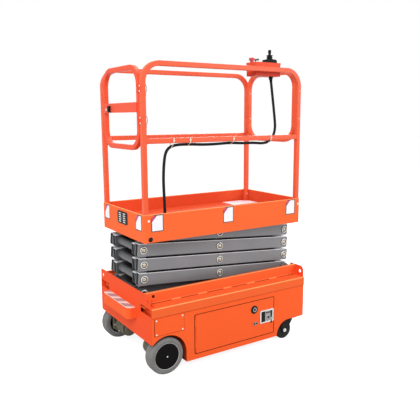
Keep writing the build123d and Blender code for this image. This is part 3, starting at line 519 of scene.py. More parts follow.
# Door latches. A plated pressed tray in each door, with a black finger paddle on its left, a
# keyed lock plate beside it, a dark pull bar and a small swinging cover under the lock.
latch_steel = mottled("latch_plate", 70.0, (0.52, 0.52, 0.52), (0.74, 0.74, 0.73),
                      Metallic=(0.35, 0.2), Roughness=(0.3, 0.2))
dress(latch_steel, "door_latch_near", "door_latch_far")
moulded_black = mottled("moulded_black", 260.0, (0.006, 0.006, 0.007), (0.014, 0.014, 0.015),
                        grain=(260.0, 0.0003, 0.3), Roughness=(0.42, 0.15),
                        Specular_IOR_Level=0.1)
lock_steel = mottled("lock_plate", 160.0, (0.16, 0.16, 0.16), (0.42, 0.42, 0.41), 5.0,
                     Metallic=0.35, Roughness=0.4)
for side_name, side in sides:
    latch_low, latch_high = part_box(f"door_latch_{side_name}")
    latch_place = on_side(side, latch_low.x + 0.056, panel_y + 0.001,
                          middle(latch_low, latch_high).z)
    latch_place = latch_place @ Matrix.Diagonal((-side, 1, 1, 1))
    fittings = bmesh.new()
    for corner, opposite, finish, rounding in (
            ((-0.047, -0.036, 0.0), (-0.016, 0.036, 0.003), 0, 0.0008),
            ((-0.042, -0.01, 0.0028), (-0.022, 0.03, 0.0042), 0, 0.0006),
            ((-0.016, -0.034, 0.0), (0.045, 0.034, 0.0016), 1, 0.0005),
            ((0.031, -0.012, 0.001), (0.04, 0.032, 0.0052), 0, 0.0012),
            ((-0.01, 0.02, 0.001), (0.028, 0.027, 0.0032), 0, 0.0008),
            ((0.032, -0.056, 0.0004), (0.041, -0.034, 0.003), 0, 0.0008)):
        add_block(fittings, corner, opposite, latch_place, rounding, finish)
    lock_place = latch_place @ Matrix.Translation((0.01, -0.008, 0.0))
    add_turned(fittings, ((0.0, 0.0048), (0.0085, 0.0048), (0.0095, 0.004), (0.0125, 0.0036),
                          (0.0135, 0.0014)), lock_place, 20, ((0.007, 0), (0.014, 1)))
    add_block(fittings, (-0.001, -0.0055, 0.0046), (0.001, 0.0055, 0.0052), lock_place)
    piece(f"latch_fittings_{side_name}", fittings, f"door_{side_name}", moulded_black,
          lock_steel, slot="black_plastic")

# Main switch on the near door. A black moulded bezel with a knurled skirt round a plated
# key barrel, and a two-pin socket below it.
dress(moulded_black, "main_switch")
switch_low, switch_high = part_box("main_switch")
switch_middle = middle(switch_low, switch_high)
switch_face = -switch_low.y


def around(place, count, start=0.0):
    """The frames that turning place about its Z gives, in equal steps."""
    return [place @ Matrix.Rotation(math.tau * (step + start) / count, 4, "Z")
            for step in range(count)]


switch_place = on_side(-1, switch_middle.x, switch_face, switch_middle.z)
switch_trim = bmesh.new()
add_turned(switch_trim, ((0.0, -0.0004), (0.0105, -0.0004), (0.011, 0.0008), (0.0135, 0.0008),
                         (0.0145, -0.001), (0.018, -0.0022), (0.0245, -0.0024),
                         (0.0265, -0.004), (0.0265, -0.0058)),
           switch_place, rings=((0.0125, 2), (0.03, 0)))
for ridge_place in around(switch_place, 20):
    add_block(switch_trim, (0.0256, -0.0011, -0.0056), (0.0272, 0.0011, -0.0026),
              ridge_place)
add_block(switch_trim, (-0.0075, -0.0012, -0.0004), (0.0075, 0.0012, 0.0004), switch_place)
socket_place = on_side(-1, 0.19, panel_y + 0.0037, 0.178)
add_block(switch_trim, (-0.017, -0.009, 0.0), (0.017, 0.009, 0.0014), socket_place, 0.0005, 1)
for x in (-0.009, 0.009):
    add_turned(switch_trim, ((0.0, 0.0016), (0.003, 0.0016), (0.0034, 0.0038),
                             (0.0052, 0.0038), (0.0058, 0.0012)),
               socket_place @ Matrix.Translation((x, 0, 0)), 14)
piece("switch_trim", switch_trim, "door_near", moulded_black, lock_steel, latch_steel,
      slot="black_plastic")

# Battery pack behind the near door. Four dark moulded cases in a row under a hold-down bar,
# each with a lid, three ribs, lead posts and vent caps.
battery_case = mottled("battery_case", 150.0, (0.035, 0.037, 0.042), (0.06, 0.062, 0.068),
                       Roughness=(0.45, 0.2))
dress(battery_case, "battery_block")
lead = mottled("cast_lead", 200.0, (0.3, 0.3, 0.31), (0.42, 0.42, 0.43), Metallic=0.6,
               Roughness=0.5)
pack_low, pack_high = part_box("battery_block")
cell_width = (pack_high.x - pack_low.x) / 4
case_top = pack_high.z + 0.01
battery_tops = bmesh.new()
for cell in range(4):
    x = pack_low.x + cell_width * (cell + 0.5)
    half = cell_width / 2
    add_block(battery_tops, (x - half + 0.006, pack_low.y + 0.006, pack_high.z),
              (x + half - 0.006, pack_high.y - 0.006, case_top), round_edges=0.003)
    for rib in (-0.04, 0.0, 0.04):
        add_block(battery_tops, (x + rib - 0.004, pack_low.y - 0.0025, pack_low.z + 0.02),
                  (x + rib + 0.004, pack_low.y, pack_high.z - 0.04), round_edges=0.001)
    add_block(battery_tops, (x - half + 0.003, pack_low.y - 0.0035, pack_high.z - 0.032),
              (x + half - 0.003, pack_low.y, pack_high.z - 0.022), round_edges=0.001)
    for y in (pack_low.y + 0.045, pack_high.y - 0.045):
        add_turned(battery_tops, ((0.0, 0.026), (0.008, 0.026), (0.009, 0.009)),
                   Matrix.Translation((x, y, pack_high.z)), 16, ((0.02, 1),))
    for y in (pack_low.y + 0.1, pack_low.y + 0.14, pack_low.y + 0.18):
        add_turned(battery_tops, ((0.0, 0.016), (0.01, 0.016), (0.0115, 0.009)),
                   Matrix.Translation((x, y, pack_high.z)), 16)
piece("battery_tops", battery_tops, "chassis", battery_case, lead, slot="battery")
hold_down = bmesh.new()
add_block(hold_down, (pack_low.x + 0.01, pack_low.y + 0.116, case_top + 0.006),
          (pack_high.x - 0.01, pack_low.y + 0.124, case_top + 0.02), round_edges=0.001)
for x in (pack_low.x + 0.01, pack_high.x - 0.018):
    add_block(hold_down, (x, pack_low.y + 0.112, pack_high.z),
              (x + 0.008, pack_low.y + 0.128, case_top + 0.02), round_edges=0.001)
piece("battery_hold_down", hold_down, "chassis", zinc, slot="latch")

# Hydraulic power unit behind the far door. A dark painted tank with a filler cap, the round
# end of its pump motor, and a valve block with three solenoids.
pump_paint = mottled("pump_paint", 80.0, (0.045, 0.047, 0.05), (0.075, 0.077, 0.08),
                     Roughness=(0.35, 0.2))
dress(pump_paint, "power_unit_block")
unit_low, unit_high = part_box("power_unit_block")
power_unit = bmesh.new()
motor_place = on_side(1, unit_low.x + 0.105, unit_high.y, 0.17)
add_turned(power_unit, ((0.0, 0.018), (0.03, 0.018), (0.036, 0.014), (0.06, 0.014),
                        (0.066, 0.008), (0.066, -0.002)), motor_place, 40)
for bolt_place in around(motor_place, 4, 0.5):
    add_bolt(power_unit, bolt_place @ Matrix.Translation((0.05, 0.0, 0.014)), 0.0045, 1)
valve_place = on_side(1, unit_low.x + 0.265, unit_high.y, 0.15)
add_block(power_unit, (-0.075, -0.04, -0.002), (0.075, 0.03, 0.012), valve_place, 0.002, 1)
for x in (-0.048, 0.0, 0.048):
    add_turned(power_unit, ((0.0, 0.02), (0.005, 0.02), (0.006, 0.017), (0.017, 0.017),
                            (0.018, 0.012)), valve_place @ Matrix.Translation((x, 0, 0)),
               20, ((0.0055, 1),))
add_turned(power_unit, ((0.0, 0.02), (0.024, 0.02), (0.027, 0.016), (0.027, 0.004),
                        (0.02, 0.004), (0.02, -0.002)),
           Matrix.Translation((unit_low.x + 0.3, 0.2, unit_high.z)), 28)
piece("power_unit_fittings", power_unit, "chassis", pump_paint, zinc, slot="pump")

# Drive tyres. Solid grey non-marking rubber pressed on the hubs, with a stepped sidewall, a
# pale bead next to the hub, a rounded shoulder and a dusty, mottled tread.
bead_radius = 0.0818
tyre_rubber = Finish("grey_tyre")
tyre_dust = tyre_rubber.noise(26.0, 5.0)
tyre_speck = tyre_rubber.noise(230.0, 4.0)
tyre_middle = middle(*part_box("drive_tyre_near"))
along_tyre = tyre_rubber.along("X") - tyre_middle.x
up_tyre = tyre_rubber.along("Z") - tyre_middle.z
tyre_bead = (along_tyre * along_tyre + up_tyre * up_tyre) < bead_radius ** 2
dusty_grey = tyre_rubber.mix(tyre_dust * 0.55 + tyre_speck * 0.45, (0.08, 0.08, 0.082),
                             (0.28, 0.275, 0.27))
tyre_rubber.set(Base_Color=tyre_rubber.mix(tyre_bead, dusty_grey, (0.5, 0.5, 0.49)),
                Roughness=0.72 + tyre_speck * 0.2,
                Normal=tyre_rubber.bump(tyre_speck, 0.0008, 0.6))
hub_paint = mottled("black_hub_paint", 30.0, (0.004, 0.004, 0.004), (0.009, 0.008, 0.008),
                    Roughness=(0.45, 0.2), Specular_IOR_Level=0.03)
dress(hub_paint, "drive_hub_near", "drive_hub_far")
wheel_face_y = 0.372
tyre_section = (
    (0.079, -0.004), (0.0805, -0.0012), (0.085, -0.0008), (0.0868, -0.0026),
    (0.0895, -0.0026), (0.0912, -0.0006), (0.099, -0.0004), (0.105, -0.0022),
    (0.1095, -0.006), (0.112, -0.0115), (0.1125, -0.019), (0.1125, -0.059),
    (0.112, -0.0665), (0.1095, -0.072), (0.105, -0.0758), (0.099, -0.0776),
    (0.082, -0.0779), (0.079, -0.0765), (0.079, -0.004))
for side_name, side in sides:
    wheel_middle = middle(*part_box(f"drive_tyre_{side_name}"))
    axle = on_side(side, wheel_middle.x, wheel_face_y, wheel_middle.z)
    tyre = bmesh.new()
    add_turned(tyre, tyre_section, axle, 72)
    made = piece(f"drive_tyre_{side_name}_rubber", tyre, f"wheel_{side_name}", tyre_rubber,
                 slot="tyre")
    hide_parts(f"drive_tyre_{side_name}")
    hub_trim = bmesh.new()
    add_turned(hub_trim, ((0.07, -0.0031), (0.0715, -0.0018), (0.077, -0.0014),
                          (0.0788, -0.003), (0.0788, -0.006)), axle, 64)
    add_turned(hub_trim, ((0.015, -0.0031), (0.0165, -0.0022), (0.024, -0.0022),
                          (0.0255, -0.0031)), axle, 40)
    add_bolt(hub_trim, axle, 0.0032, 1)
    piece(f"drive_hub_{side_name}_trim", hub_trim, f"wheel_{side_name}", hub_paint, zinc,
          slot="hub")

# Drive motors. Dark olive cast motors on their hanging brackets, with cooling rings, a brake
# cover on the inner end, flange bolts and a cable entry.
motor_paint = mottled("olive_motor_paint", 22.0, (0.075, 0.068, 0.045), (0.15, 0.135, 0.092),
                      5.0, grain=(140.0, 0.0008, 0.4), Roughness=(0.45, 0.25))
dress(motor_paint, "drive_motor_near", "drive_motor_far")
motor_end_y = 0.15
motor_axis_z = 0.1125
for side_name, side in sides:
    motor_x = middle(*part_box(f"drive_motor_{side_name}")).x
    motor_end = facing((motor_x, side * motor_end_y, motor_axis_z), (0, -side, 0))
    motor_trim = bmesh.new()
    add_turned(motor_trim, ((0.0, 0.016), (0.03, 0.016), (0.036, 0.01), (0.038, -0.002)),
               motor_end, 36)
    for ring in range(6):
        depth = -0.018 - ring * 0.016
        add_turned(motor_trim, ((0.0515, depth - 0.003), (0.0545, depth - 0.002),
                                (0.0545, depth + 0.002), (0.0515, depth + 0.003)),
                   motor_end, 40)
    for bolt_place in around(motor_end, 6):
        add_bolt(motor_trim, bolt_place @ Matrix.Translation((0.0575, 0.0, -0.118)), 0.004, 1)
    add_block(motor_trim, (-0.02, 0.048, -0.075), (0.02, 0.066, -0.035), motor_end, 0.003)
    piece(f"drive_motor_{side_name}_trim", motor_trim, "chassis", motor_paint, zinc,
          slot="motor")

# Casters. Black forks and plates, dusty black solid wheels, a zinc-plated axle nut each side
# and four bolts up through each plate.
caster_rubber = mottled("caster_rubber", 60.0, (0.008, 0.008, 0.008), (0.028, 0.026, 0.025),
                        5.0, Roughness=(0.5, 0.3), Specular_IOR_Level=0.12)
dress(caster_rubber, "caster_wheel_near", "caster_wheel_far")
fork_paint = mottled("black_fork_paint", 34.0, (0.006, 0.006, 0.007), (0.018, 0.017, 0.017),
                     5.0, Roughness=(0.36, 0.25), Specular_IOR_Level=0.08)
dress(fork_paint, "caster_fork_near", "caster_fork_far", "caster_plates")
for side_name, side in sides:
    caster_nuts = bmesh.new()
    caster_rim = bmesh.new()
    fork_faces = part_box(f"caster_fork_{side_name}")
    wheel_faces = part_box(f"caster_wheel_{side_name}")
    axle_place = middle(*wheel_faces)
    for way, fork_face, wheel_face in zip((-1, 1), fork_faces, wheel_faces):
        nut_y = fork_face.y - way * 0.0045
        add_bolt(caster_nuts, facing((axle_place.x, nut_y, axle_place.z), (0, way, 0)), 0.0085)
        rim_y = wheel_face.y - way * 0.0027
        add_turned(caster_rim, ((0.0175, -0.0002), (0.019, 0.0012), (0.036, 0.0004),
                                (0.0385, -0.0008)),
                   facing((axle_place.x, rim_y, axle_place.z), (0, way, 0)), 36)
    piece(f"caster_nuts_{side_name}", caster_nuts, f"fork_{side_name}", zinc, slot="latch")
    piece(f"caster_rim_{side_name}", caster_rim, f"caster_{side_name}", caster_rubber,
          slot="fork")
plate_low, plate_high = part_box("caster_plates")
caster_y = 0.326
plate_bolts = bmesh.new()
for side in (-1, 1):
    for x in (plate_low.x + 0.012, plate_high.x - 0.012):
        for away in (-0.033, 0.033):
            bolt_spot = (x, side * caster_y + away, plate_low.z + 0.006)
            add_bolt(plate_bolts, facing(bolt_spot, (0, 0, -1), (0, 1, 0)), 0.005)
piece("caster_plate_bolts", plate_bolts, "chassis", zinc, slot="latch")

# Scissor arms, their tracks and brackets. Cold-rolled box section welded to bosses and
# sprayed mid grey, the inner arms darker as painted shade, with painted shade in the gaps where
# the arms lie on each other and a painted highlight along the arms' upper long edges.
levels = (1, 2, 3, 4)
pin_left_x = -0.5187
pin_right_x = 0.5673
base_pin_z = 0.464
level_rise = 0.089


def arm_paint(name, lean, thin=(0.17, 0.173, 0.181), thick=(0.225, 0.228, 0.238)):
    """Grey arm paint. Where arms fall (1) or climb (-1) in X, it has a painted highlight along
    their upper edge and painted shade above that, in the gap to the next arm."""
    paint = Finish(name)
    colour = paint.mix(paint.noise(6.0), thin, thick)
    if lean:
        run = (paint.along("X") - pin_left_x) * (lean * level_rise / (pin_right_x - pin_left_x))
        above = (paint.along("Z") - base_pin_z + run) % level_rise
        # Painted highlight along the arm's upper edge.
        painted_edge_highlight = (above > 0.0356) * (above < 0.04)
        colour = paint.mix(painted_edge_highlight, colour, (0.74, 0.74, 0.77))
        # Painted shade on the top face and in the gap above it.
        painted_gap_shade = (above > 0.0386) * (above < 0.0525) * (abs(paint.along("X")) < 0.5)
        colour = paint.mix(painted_gap_shade, colour, (0.022, 0.022, 0.025))
    paint.set(Base_Color=colour, Roughness=0.34 + paint.noise(35.0) * 0.18, Metallic=0.2,
              Normal=paint.bump(paint.noise(260.0), 0.0003, 0.25))
    return paint


dress(arm_paint("outer_arm_paint_highlit_shaded", 1), *(f"outer_arms_{level}" for level in levels))
# The inner arms' darker grey is painted shade, for the shade between the outer arms.
dress(arm_paint("inner_arm_shaded_paint", -1, (0.07, 0.072, 0.076), (0.1, 0.102, 0.108)),
      *(f"inner_arms_{level}" for level in levels))
dress(arm_paint("track_paint", 0), "roller_tracks", "pivot_brackets", "upper_tracks",
      "platform_brackets")

# Pin caps. Each outer arm carries three pins: a zinc collar, a groove round the pin painted
# dark as shade, and the pin's yellow-passivated end with its lock tab.
pin_gold = mottled("yellow_passivate", 160.0, (0.46, 0.5, 0.3), (0.6, 0.46, 0.4),
                   Metallic=0.45, Roughness=(0.32, 0.2))
pin_tab_and_gap_shade = mottled("pin_tab_and_gap_shade", 90.0, (0.035, 0.035, 0.037), (0.07, 0.07, 0.072),
                  Roughness=0.55)
cap_section = ((0.0, 0.0042), (0.0095, 0.0042), (0.0118, 0.003), (0.0122, 0.0008),
               (0.0172, 0.0008), (0.018, 0.0036), (0.0208, 0.0036), (0.0226, 0.0022),
               (0.0226, -0.0004), (0.0, -0.0004))
outer_face_y = 0.208
for level in levels:
    pin_caps = bmesh.new()
    for side in (-1, 1):
        for x, z in ((pin_left_x, base_pin_z + level_rise * level),
                     ((pin_left_x + pin_right_x) / 2, base_pin_z + level_rise * (level - 0.5)),
                     (pin_right_x, base_pin_z + level_rise * (level - 1))):
            cap_place = on_side(side, x, outer_face_y, z)
            # The ring between 12 and 17.6 mm takes the dark finish: painted shade in the groove.
            add_turned(pin_caps, cap_section, cap_place, rings=((0.012, 1), (0.0176, 2)))
            add_block(pin_caps, (-0.0015, 0.002, 0.004), (0.0015, 0.01, 0.0048),
                      cap_place @ Matrix.Rotation(0.9 * level, 4, "Z"), finish=2)
    piece(f"pin_caps_{level}", pin_caps, f"outer_{level}", zinc, pin_gold, pin_tab_and_gap_shade,
          slot="latch")

# Arm plugs. Black moulded plugs sit a few millimetres behind the open tube ends of the arms:
# painted shade, standing for the dark inside the tubes. Outer arms climb toward the entry end
# (-1) and inner arms toward the control end (1), and the lowest and highest ends of the stack
# have no plugs.
plug_depth = 0.0045
entry_overhang = 0.037
control_overhang = 0.03
for level in levels:
    for row, arm_y, upper_end in (("outer", 0.185, -1), ("inner", 0.139, 1)):
        arm_shade_plugs = bmesh.new()
        for climb, last_level in ((1, 4), (-1, 1)):
            if level == last_level:
                continue
            way = climb * upper_end
            pin_x = pin_left_x if way < 0 else pin_right_x
            pin_z = base_pin_z + level_rise * (level if climb > 0 else level - 1)
            overhang = entry_overhang if way < 0 else control_overhang
            outward = Vector((way * (pin_right_x - pin_left_x), 0.0, climb * level_rise))
            outward.normalize()
            for side in (-1, 1):
                plug_place = facing(Vector((pin_x, side * arm_y, pin_z))
                                    + outward * (overhang - plug_depth), outward)
                add_block(arm_shade_plugs, (-0.0157, -0.0347, -0.002), (0.0157, 0.0347, 0.0),
                          plug_place)
                add_block(arm_shade_plugs, (-0.01, -0.028, 0.0), (0.01, 0.028, 0.0012),
                          plug_place, 0.0008)
        piece(f"{row}_shade_plugs_{level}", arm_shade_plugs, f"{row}_{level}", moulded_black,
              slot="black_plastic")

# Rollers at the open ends of the stack. Turned from dark nylon, with a zinc-plated bearing
# ring pressed into each outer face.
nylon = mottled("dark_nylon", 60.0, (0.05, 0.05, 0.05), (0.085, 0.084, 0.082),
                Roughness=(0.38, 0.2))
dress(nylon, "lower_rollers", "upper_rollers")
for roller_name, body in (("lower_rollers", "inner_1"), ("upper_rollers", "outer_4")):
    roller_low, roller_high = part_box(roller_name)
    roller_face = roller_high.y
    roller_middle = middle(roller_low, roller_high)
    bearings = bmesh.new()
    for side in (-1, 1):
        add_turned(bearings, ((0.015, 0.0006), (0.016, 0.0014), (0.0215, 0.0014),
                              (0.0225, 0.0004)),
                   on_side(side, roller_middle.x, roller_face, roller_middle.z), 28)
    piece(f"{roller_name}_bearings", bearings, body, zinc, slot="roller")

# Lift cylinder. A satin black steel barrel with a lugged gland nut and a plated port, and a
# hard-chromed rod that ends in an eye.
barrel_paint = mottled("black_barrel_paint", 30.0, (0.018, 0.018, 0.019),
                       (0.036, 0.036, 0.038), Roughness=(0.32, 0.2))
dress(barrel_paint, "lift_barrel")
hard_chrome = mottled("hard_chrome", 40.0, (0.66, 0.66, 0.67), (0.76, 0.76, 0.77),
                      Metallic=0.95, Roughness=(0.1, 0.1))
dress(hard_chrome, "lift_rod")
barrel_length = 0.315
barrel_radius = 0.034
foot_point = Vector((0.2377, 0.0, 0.335))
eye_point = Vector((-0.0628, 0.0, 0.5306))
lift_line = (eye_point - foot_point).normalized()
barrel_end = facing(foot_point + lift_line * barrel_length, lift_line, (0, 1, 0))
gland = bmesh.new()
add_turned(gland, ((0.0186, 0.004), (0.03, 0.004), (0.0365, 0.0015), (0.037, -0.022),
                   (0.0348, -0.0235)), barrel_end, 36)
for lug_place in around(barrel_end, 6):
    add_block(gland, (0.035, -0.004, -0.018), (0.0385, 0.004, -0.006), lug_place, 0.0006)
port_place = facing(foot_point + lift_line * 0.075 - Vector((0.0, barrel_radius, 0.0)),
                    (0, -1, 0))
add_turned(gland, ((0.0, 0.011), (0.006, 0.011), (0.007, 0.01), (0.007, 0.004),
                   (0.01, 0.004), (0.01, -0.002)), port_place, 6, ((0.0072, 1),))
piece("lift_gland", gland, "barrel", barrel_paint, zinc, slot="barrel")

# Platform tray. Folded sheet with a welded floor, powder coated, with a painted highlight along
# its top edge all round and painted shade on its floor and the inner faces of its skirt.
tray_low, tray_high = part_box("platform_tray")


def painted_rim_highlight(coat):
    """1 along the top edge of the tray's skirt, where a highlight is painted."""
    return (coat.along("Z") > tray_high.z - 0.004) * 0.8


def painted_shade_in_tray(coat):
    """1 on the tray's floor and the inner faces of its skirt, where shade is painted."""
    half_length = (tray_high.x - tray_low.x) / 2
    from_middle = abs(coat.along("X") - middle(tray_low, tray_high).x)
    return (abs(coat.along("Y")) < tray_high.y - 0.003) * (from_middle < half_length - 0.003)


tray_coat = powder_coat("highlit_shaded_tray_coat", (0.92, 0.142, 0.036), (0.97, 0.158, 0.045), 0.36,
                        0.03, painted_rim_highlight, painted_shade_in_tray)
dress(tray_coat, "platform_tray")

# Tray fasteners. Zinc-plated bolts pin the skirt to the posts at each corner, with nuts on
# the posts inside, and a dark rubber plug closes a hole low on each long side.
post_xs = (-0.538, 0.6)
rail_y = 0.281
tube_half = 0.015
tray_bolts = bmesh.new()
for side in (-1, 1):
    for x in (tray_low.x + 0.03, tray_high.x - 0.015):
        add_bolt(tray_bolts, on_side(side, x, tray_high.y, 0.922), 0.005)
    for x in post_xs:
        add_bolt(tray_bolts, facing((x, side * (rail_y - tube_half), 0.926), (0, -side, 0)),
                 0.005)
    add_turned(tray_bolts, ((0.0, 0.0032), (0.008, 0.0032), (0.012, 0.0022), (0.0145, 0.0)),
               on_side(side, tray_low.x + 0.04, tray_high.y, 0.813), rings=((1.0, 1),))
piece("tray_bolts", tray_bolts, "platform", zinc, black_rubber, slot="latch")

# Signs on the skirt. White film with a fine dark outline and its top left corner cut off and
# coloured magenta, left blank.
sign_white = mottled("sign_white", 30.0, (0.84, 0.83, 0.88), (0.94, 0.93, 0.96),
                     Roughness=0.35)
sign_edge = mottled("sign_edge", 80.0, (0.03, 0.018, 0.022), (0.05, 0.028, 0.032),
                    Roughness=0.4)
sign_magenta = mottled("sign_magenta", 60.0, (0.5, 0.045, 0.12), (0.62, 0.06, 0.16),
                       Roughness=0.4)


def add_sign(mesh, place, width, height, corner, border):
    """A film sign: a dark backing, a white face on it and the coloured cut corner."""
    lean = (place.to_3x3() @ Vector((-1.0, 0.9, 0.0))).normalized()
    for index, inset, lift in ((0, 0.0, 0.0004), (1, border, 0.0008)):
        sheet = add_sheet(mesh, place @ Matrix.Translation((0.0, 0.0, lift)),
                          width - 2 * inset, height - 2 * inset)
        paint_faces(sheet, index)
        for cut, trims in ((corner * 0.45, True), (corner, False)):
            if cut <= inset or (index == 0 and not trims):
                continue
            at = place @ Vector((-width / 2 + cut, height / 2, lift))
            parts = {face for vert in sheet if vert.is_valid for face in vert.link_faces}
            edges = {edge for face in parts for edge in face.edges}
            verts = {vert for face in parts for vert in face.verts}
            done = bmesh.ops.bisect_plane(mesh, geom=[*parts, *edges, *verts], plane_co=at,
                                          plane_no=lean, clear_outer=trims)["geom"]
            sheet = [item for item in done if isinstance(item, bmesh.types.BMVert)]
            for face in (item for item in done if isinstance(item, bmesh.types.BMFace)):
                if (face.calc_center_median() - at).dot(lean) > 0:
                    face.material_index = 2


sign_border = 0.0052
skirt_signs = bmesh.new()
for side in (-1, 1):
    for x in (-0.472, 0.027, 0.5375):
        add_sign(skirt_signs, on_side(side, x, tray_high.y, 0.9055), 0.079, 0.099, 0.042,
                 sign_border)
for y in (-0.2295, 0.2315):
    add_sign(skirt_signs, facing((tray_low.x, y, 0.9065), (-1, 0, 0)), 0.077, 0.094, 0.052,
             sign_border)
piece("skirt_signs", skirt_signs, "platform", sign_edge, sign_white, sign_magenta)

# Floor sheet at the control end: a white notice stuck to the tray's floor, one corner
# magenta, left blank.
floor_top = 0.877
floor_sheet = bmesh.new()
add_sign(floor_sheet, facing((0.482, 0.199, floor_top), (0, 0, 1), (1, 0, 0)), 0.158, 0.22,
         0.06, 0.001)
piece("floor_sheet", floor_sheet, "platform", sign_edge, sign_white, sign_magenta)

# Socket plate at the entry end of the skirt. Moulded black plastic with rounded corners and
# two columns of bright slots.
socket_plate = bmesh.new()
plate_place = facing((tray_low.x, -0.0065, 0.9025), (-1, 0, 0))
round_corners(socket_plate, add_sheet(socket_plate, plate_place, 0.137, 0.077), 0.013)
bmesh.ops.solidify(socket_plate, geom=list(socket_plate.faces), thickness=-0.004)
for column in (-0.03, 0.03):
    for row in range(5):
        across = -0.026 + row * 0.013
        add_block(socket_plate, (column - 0.016, across - 0.0031, 0.003),
                  (column + 0.016, across + 0.0031, 0.0056), plate_place, 0.0006, 1)
piece("socket_plate", socket_plate, "platform", moulded_black, zinc,
      slot="black_plastic")

# Guard rails, end guard and gate. Square steel tube, bent and welded, in the same orange but
# glossier and a touch redder, because the coat lies thicker on the tube.
rail_coat = powder_coat("orange_rail_coat", (0.79, 0.104, 0.038), (0.85, 0.122, 0.048), 0.3,
                        0.2)
dress(rail_coat, "guard_rail_near", "guard_rail_far", "end_guard")
gate_coat = powder_coat("orange_gate_coat", (0.8, 0.076, 0.026), (0.86, 0.09, 0.032), 0.3, 0.16)
dress(gate_coat, "gate_frame", "gate_hinges")

# Rail welds. A bead runs round each end of the middle rails and round each post where it
# meets the floor.
middle_rail_z = 1.374
bead_width = 0.003


def add_weld(mesh, place, half, height, rounding):
    """A square ring of weld bead, reaching half its width from the origin of place."""
    inner = half - bead_width
    for low, high in (((-half, -half), (half, -inner)), ((-half, inner), (half, half)),
                      ((-half, -half), (-inner, half)), ((inner, -half), (half, half))):
        add_block(mesh, (*low, 0.0), (*high, height), place, rounding)


rail_welds = bmesh.new()
for side in (-1, 1):
    for post_x, way in zip(post_xs, (1, -1)):
        rail_end = (post_x + way * tube_half, side * rail_y, middle_rail_z)
        add_weld(rail_welds, facing(rail_end, (way, 0, 0)), tube_half + 0.0015, 0.003, 0.001)
        post_foot = Matrix.Translation((post_x, side * rail_y, floor_top))
        add_weld(rail_welds, post_foot, tube_half + 0.0025, 0.0035, 0.0012)
piece("rail_welds", rail_welds, "platform", rail_coat, slot="orange_paint")

# End guard bolts. Two through-bolts a side join the end guard to the rail posts: the heads
# outside, the nuts inside the guard's stiles.
stile_inner_y = 0.2357
guard_bolts = bmesh.new()
for side in (-1, 1):
    for z in (1.494, 1.675):
        add_bolt(guard_bolts, on_side(side, post_xs[1], rail_y + tube_half, z), 0.0022)
        add_bolt(guard_bolts, facing((post_xs[1], side * stile_inner_y, z), (0, -side, 0)),
                 0.003)
piece("guard_bolts", guard_bolts, "platform", pin_gold, slot="latch")

# Gate hinge screws: two on the gate's leaf and two on the post's leaf at each hinge.
# They are zinc-plated, with low domed heads.
for screws_name, body, x, y in (("gate_screws", "gate", -0.5612, -0.236),
                                ("post_screws", "platform", -0.5565, -0.282)):
    screws = bmesh.new()
    for z in (1.489, 1.6625):
        for rise in (-0.015, 0.015):
            add_turned(screws, ((0.0, 0.0022), (0.003, 0.002), (0.0052, 0.0)),
                       facing((x, y, z + rise), (-1, 0, 0)), 14)
    piece(screws_name, screws, body, zinc, slot="latch")

# Gate latch. A black moulded slam block on the gate's bar, with a thumb slide, and the zinc
# striker bolt beside it.
dress(moulded_black, "gate_latch")
gate_catch = bmesh.new()
latch_low, latch_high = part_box("gate_latch")
catch_middle = middle(latch_low, latch_high)
catch_place = facing((latch_low.x, catch_middle.y, catch_middle.z), (-1, 0, 0))
add_block(gate_catch, (-0.009, -0.013, -0.0005), (0.009, 0.013, 0.0024), catch_place, 0.001)
for ridge in range(4):
    across = -0.0075 + ridge * 0.005
    add_block(gate_catch, (-0.007, across - 0.001, 0.002), (0.007, across + 0.001, 0.0034),
              catch_place, 0.0003)
add_bolt(gate_catch, facing((-0.559, 0.185, 1.553), (-1, 0, 0)), 0.0055, 1)
piece("gate_catch", gate_catch, "gate", moulded_black, zinc, slot="black_plastic")

# Rail pins. Two bent wire clips hang from their holes in the near entry post, ready to lock
# the folding rail. Each bows out a little as it drops, and ends in a small block.
wire = mottled("dark_wire", 150.0, (0.06, 0.06, 0.06), (0.12, 0.12, 0.12), Metallic=0.6,
               Roughness=0.4)
bow = 0.012
for index, (top_z, drop) in enumerate(((1.69, 0.056), (1.521, 0.062)), 1):
    clip = bmesh.new()
    hole = Vector((post_xs[0] + tube_half + 0.0002, -rail_y, top_z))
    reach = (drop ** 2 / 4 + bow ** 2) / (2 * bow)
    bend_centre = hole + Vector((bow - reach, 0.0, -drop / 2))
    ring = bmesh.ops.create_circle(
        clip, cap_ends=False, segments=10, radius=0.0014,
        matrix=facing(hole, (hole - bend_centre).cross(Vector((0, 1, 0))), (0, 1, 0)))
    bmesh.ops.spin(clip, geom=list({edge for vert in ring["verts"] for edge in vert.link_edges}),
                   cent=bend_centre, axis=(0, 1, 0),
                   angle=2 * math.asin(drop / 2 / reach), steps=14, use_merge=False)
    bmesh.ops.recalc_face_normals(clip, faces=clip.faces)
    add_turned(clip, ((0.0, 0.003), (0.0032, 0.0028), (0.0038, 0.0)), facing(hole, (1, 0, 0)),
               12)
    add_block(clip, (-0.0028, -0.003, -0.011), (0.0028, 0.003, 0.001),
              Matrix.Translation(hole + Vector((0.0035, 0.0, -drop))), 0.0012)
    piece(f"rail_pin_{index}", clip, "platform", wire, slot="latch")

# Control box. Folded sheet, its coat painted darker low down as the shade under the guard rail,
# with a black cable gland in its floor and a lid that laps over the sides and is held by four
# screws.
box_low, box_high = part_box("control_box")
box_coat = Finish("control_box_coat")
box_gland = box_coat.along("Z") < box_low.z + 0.0118
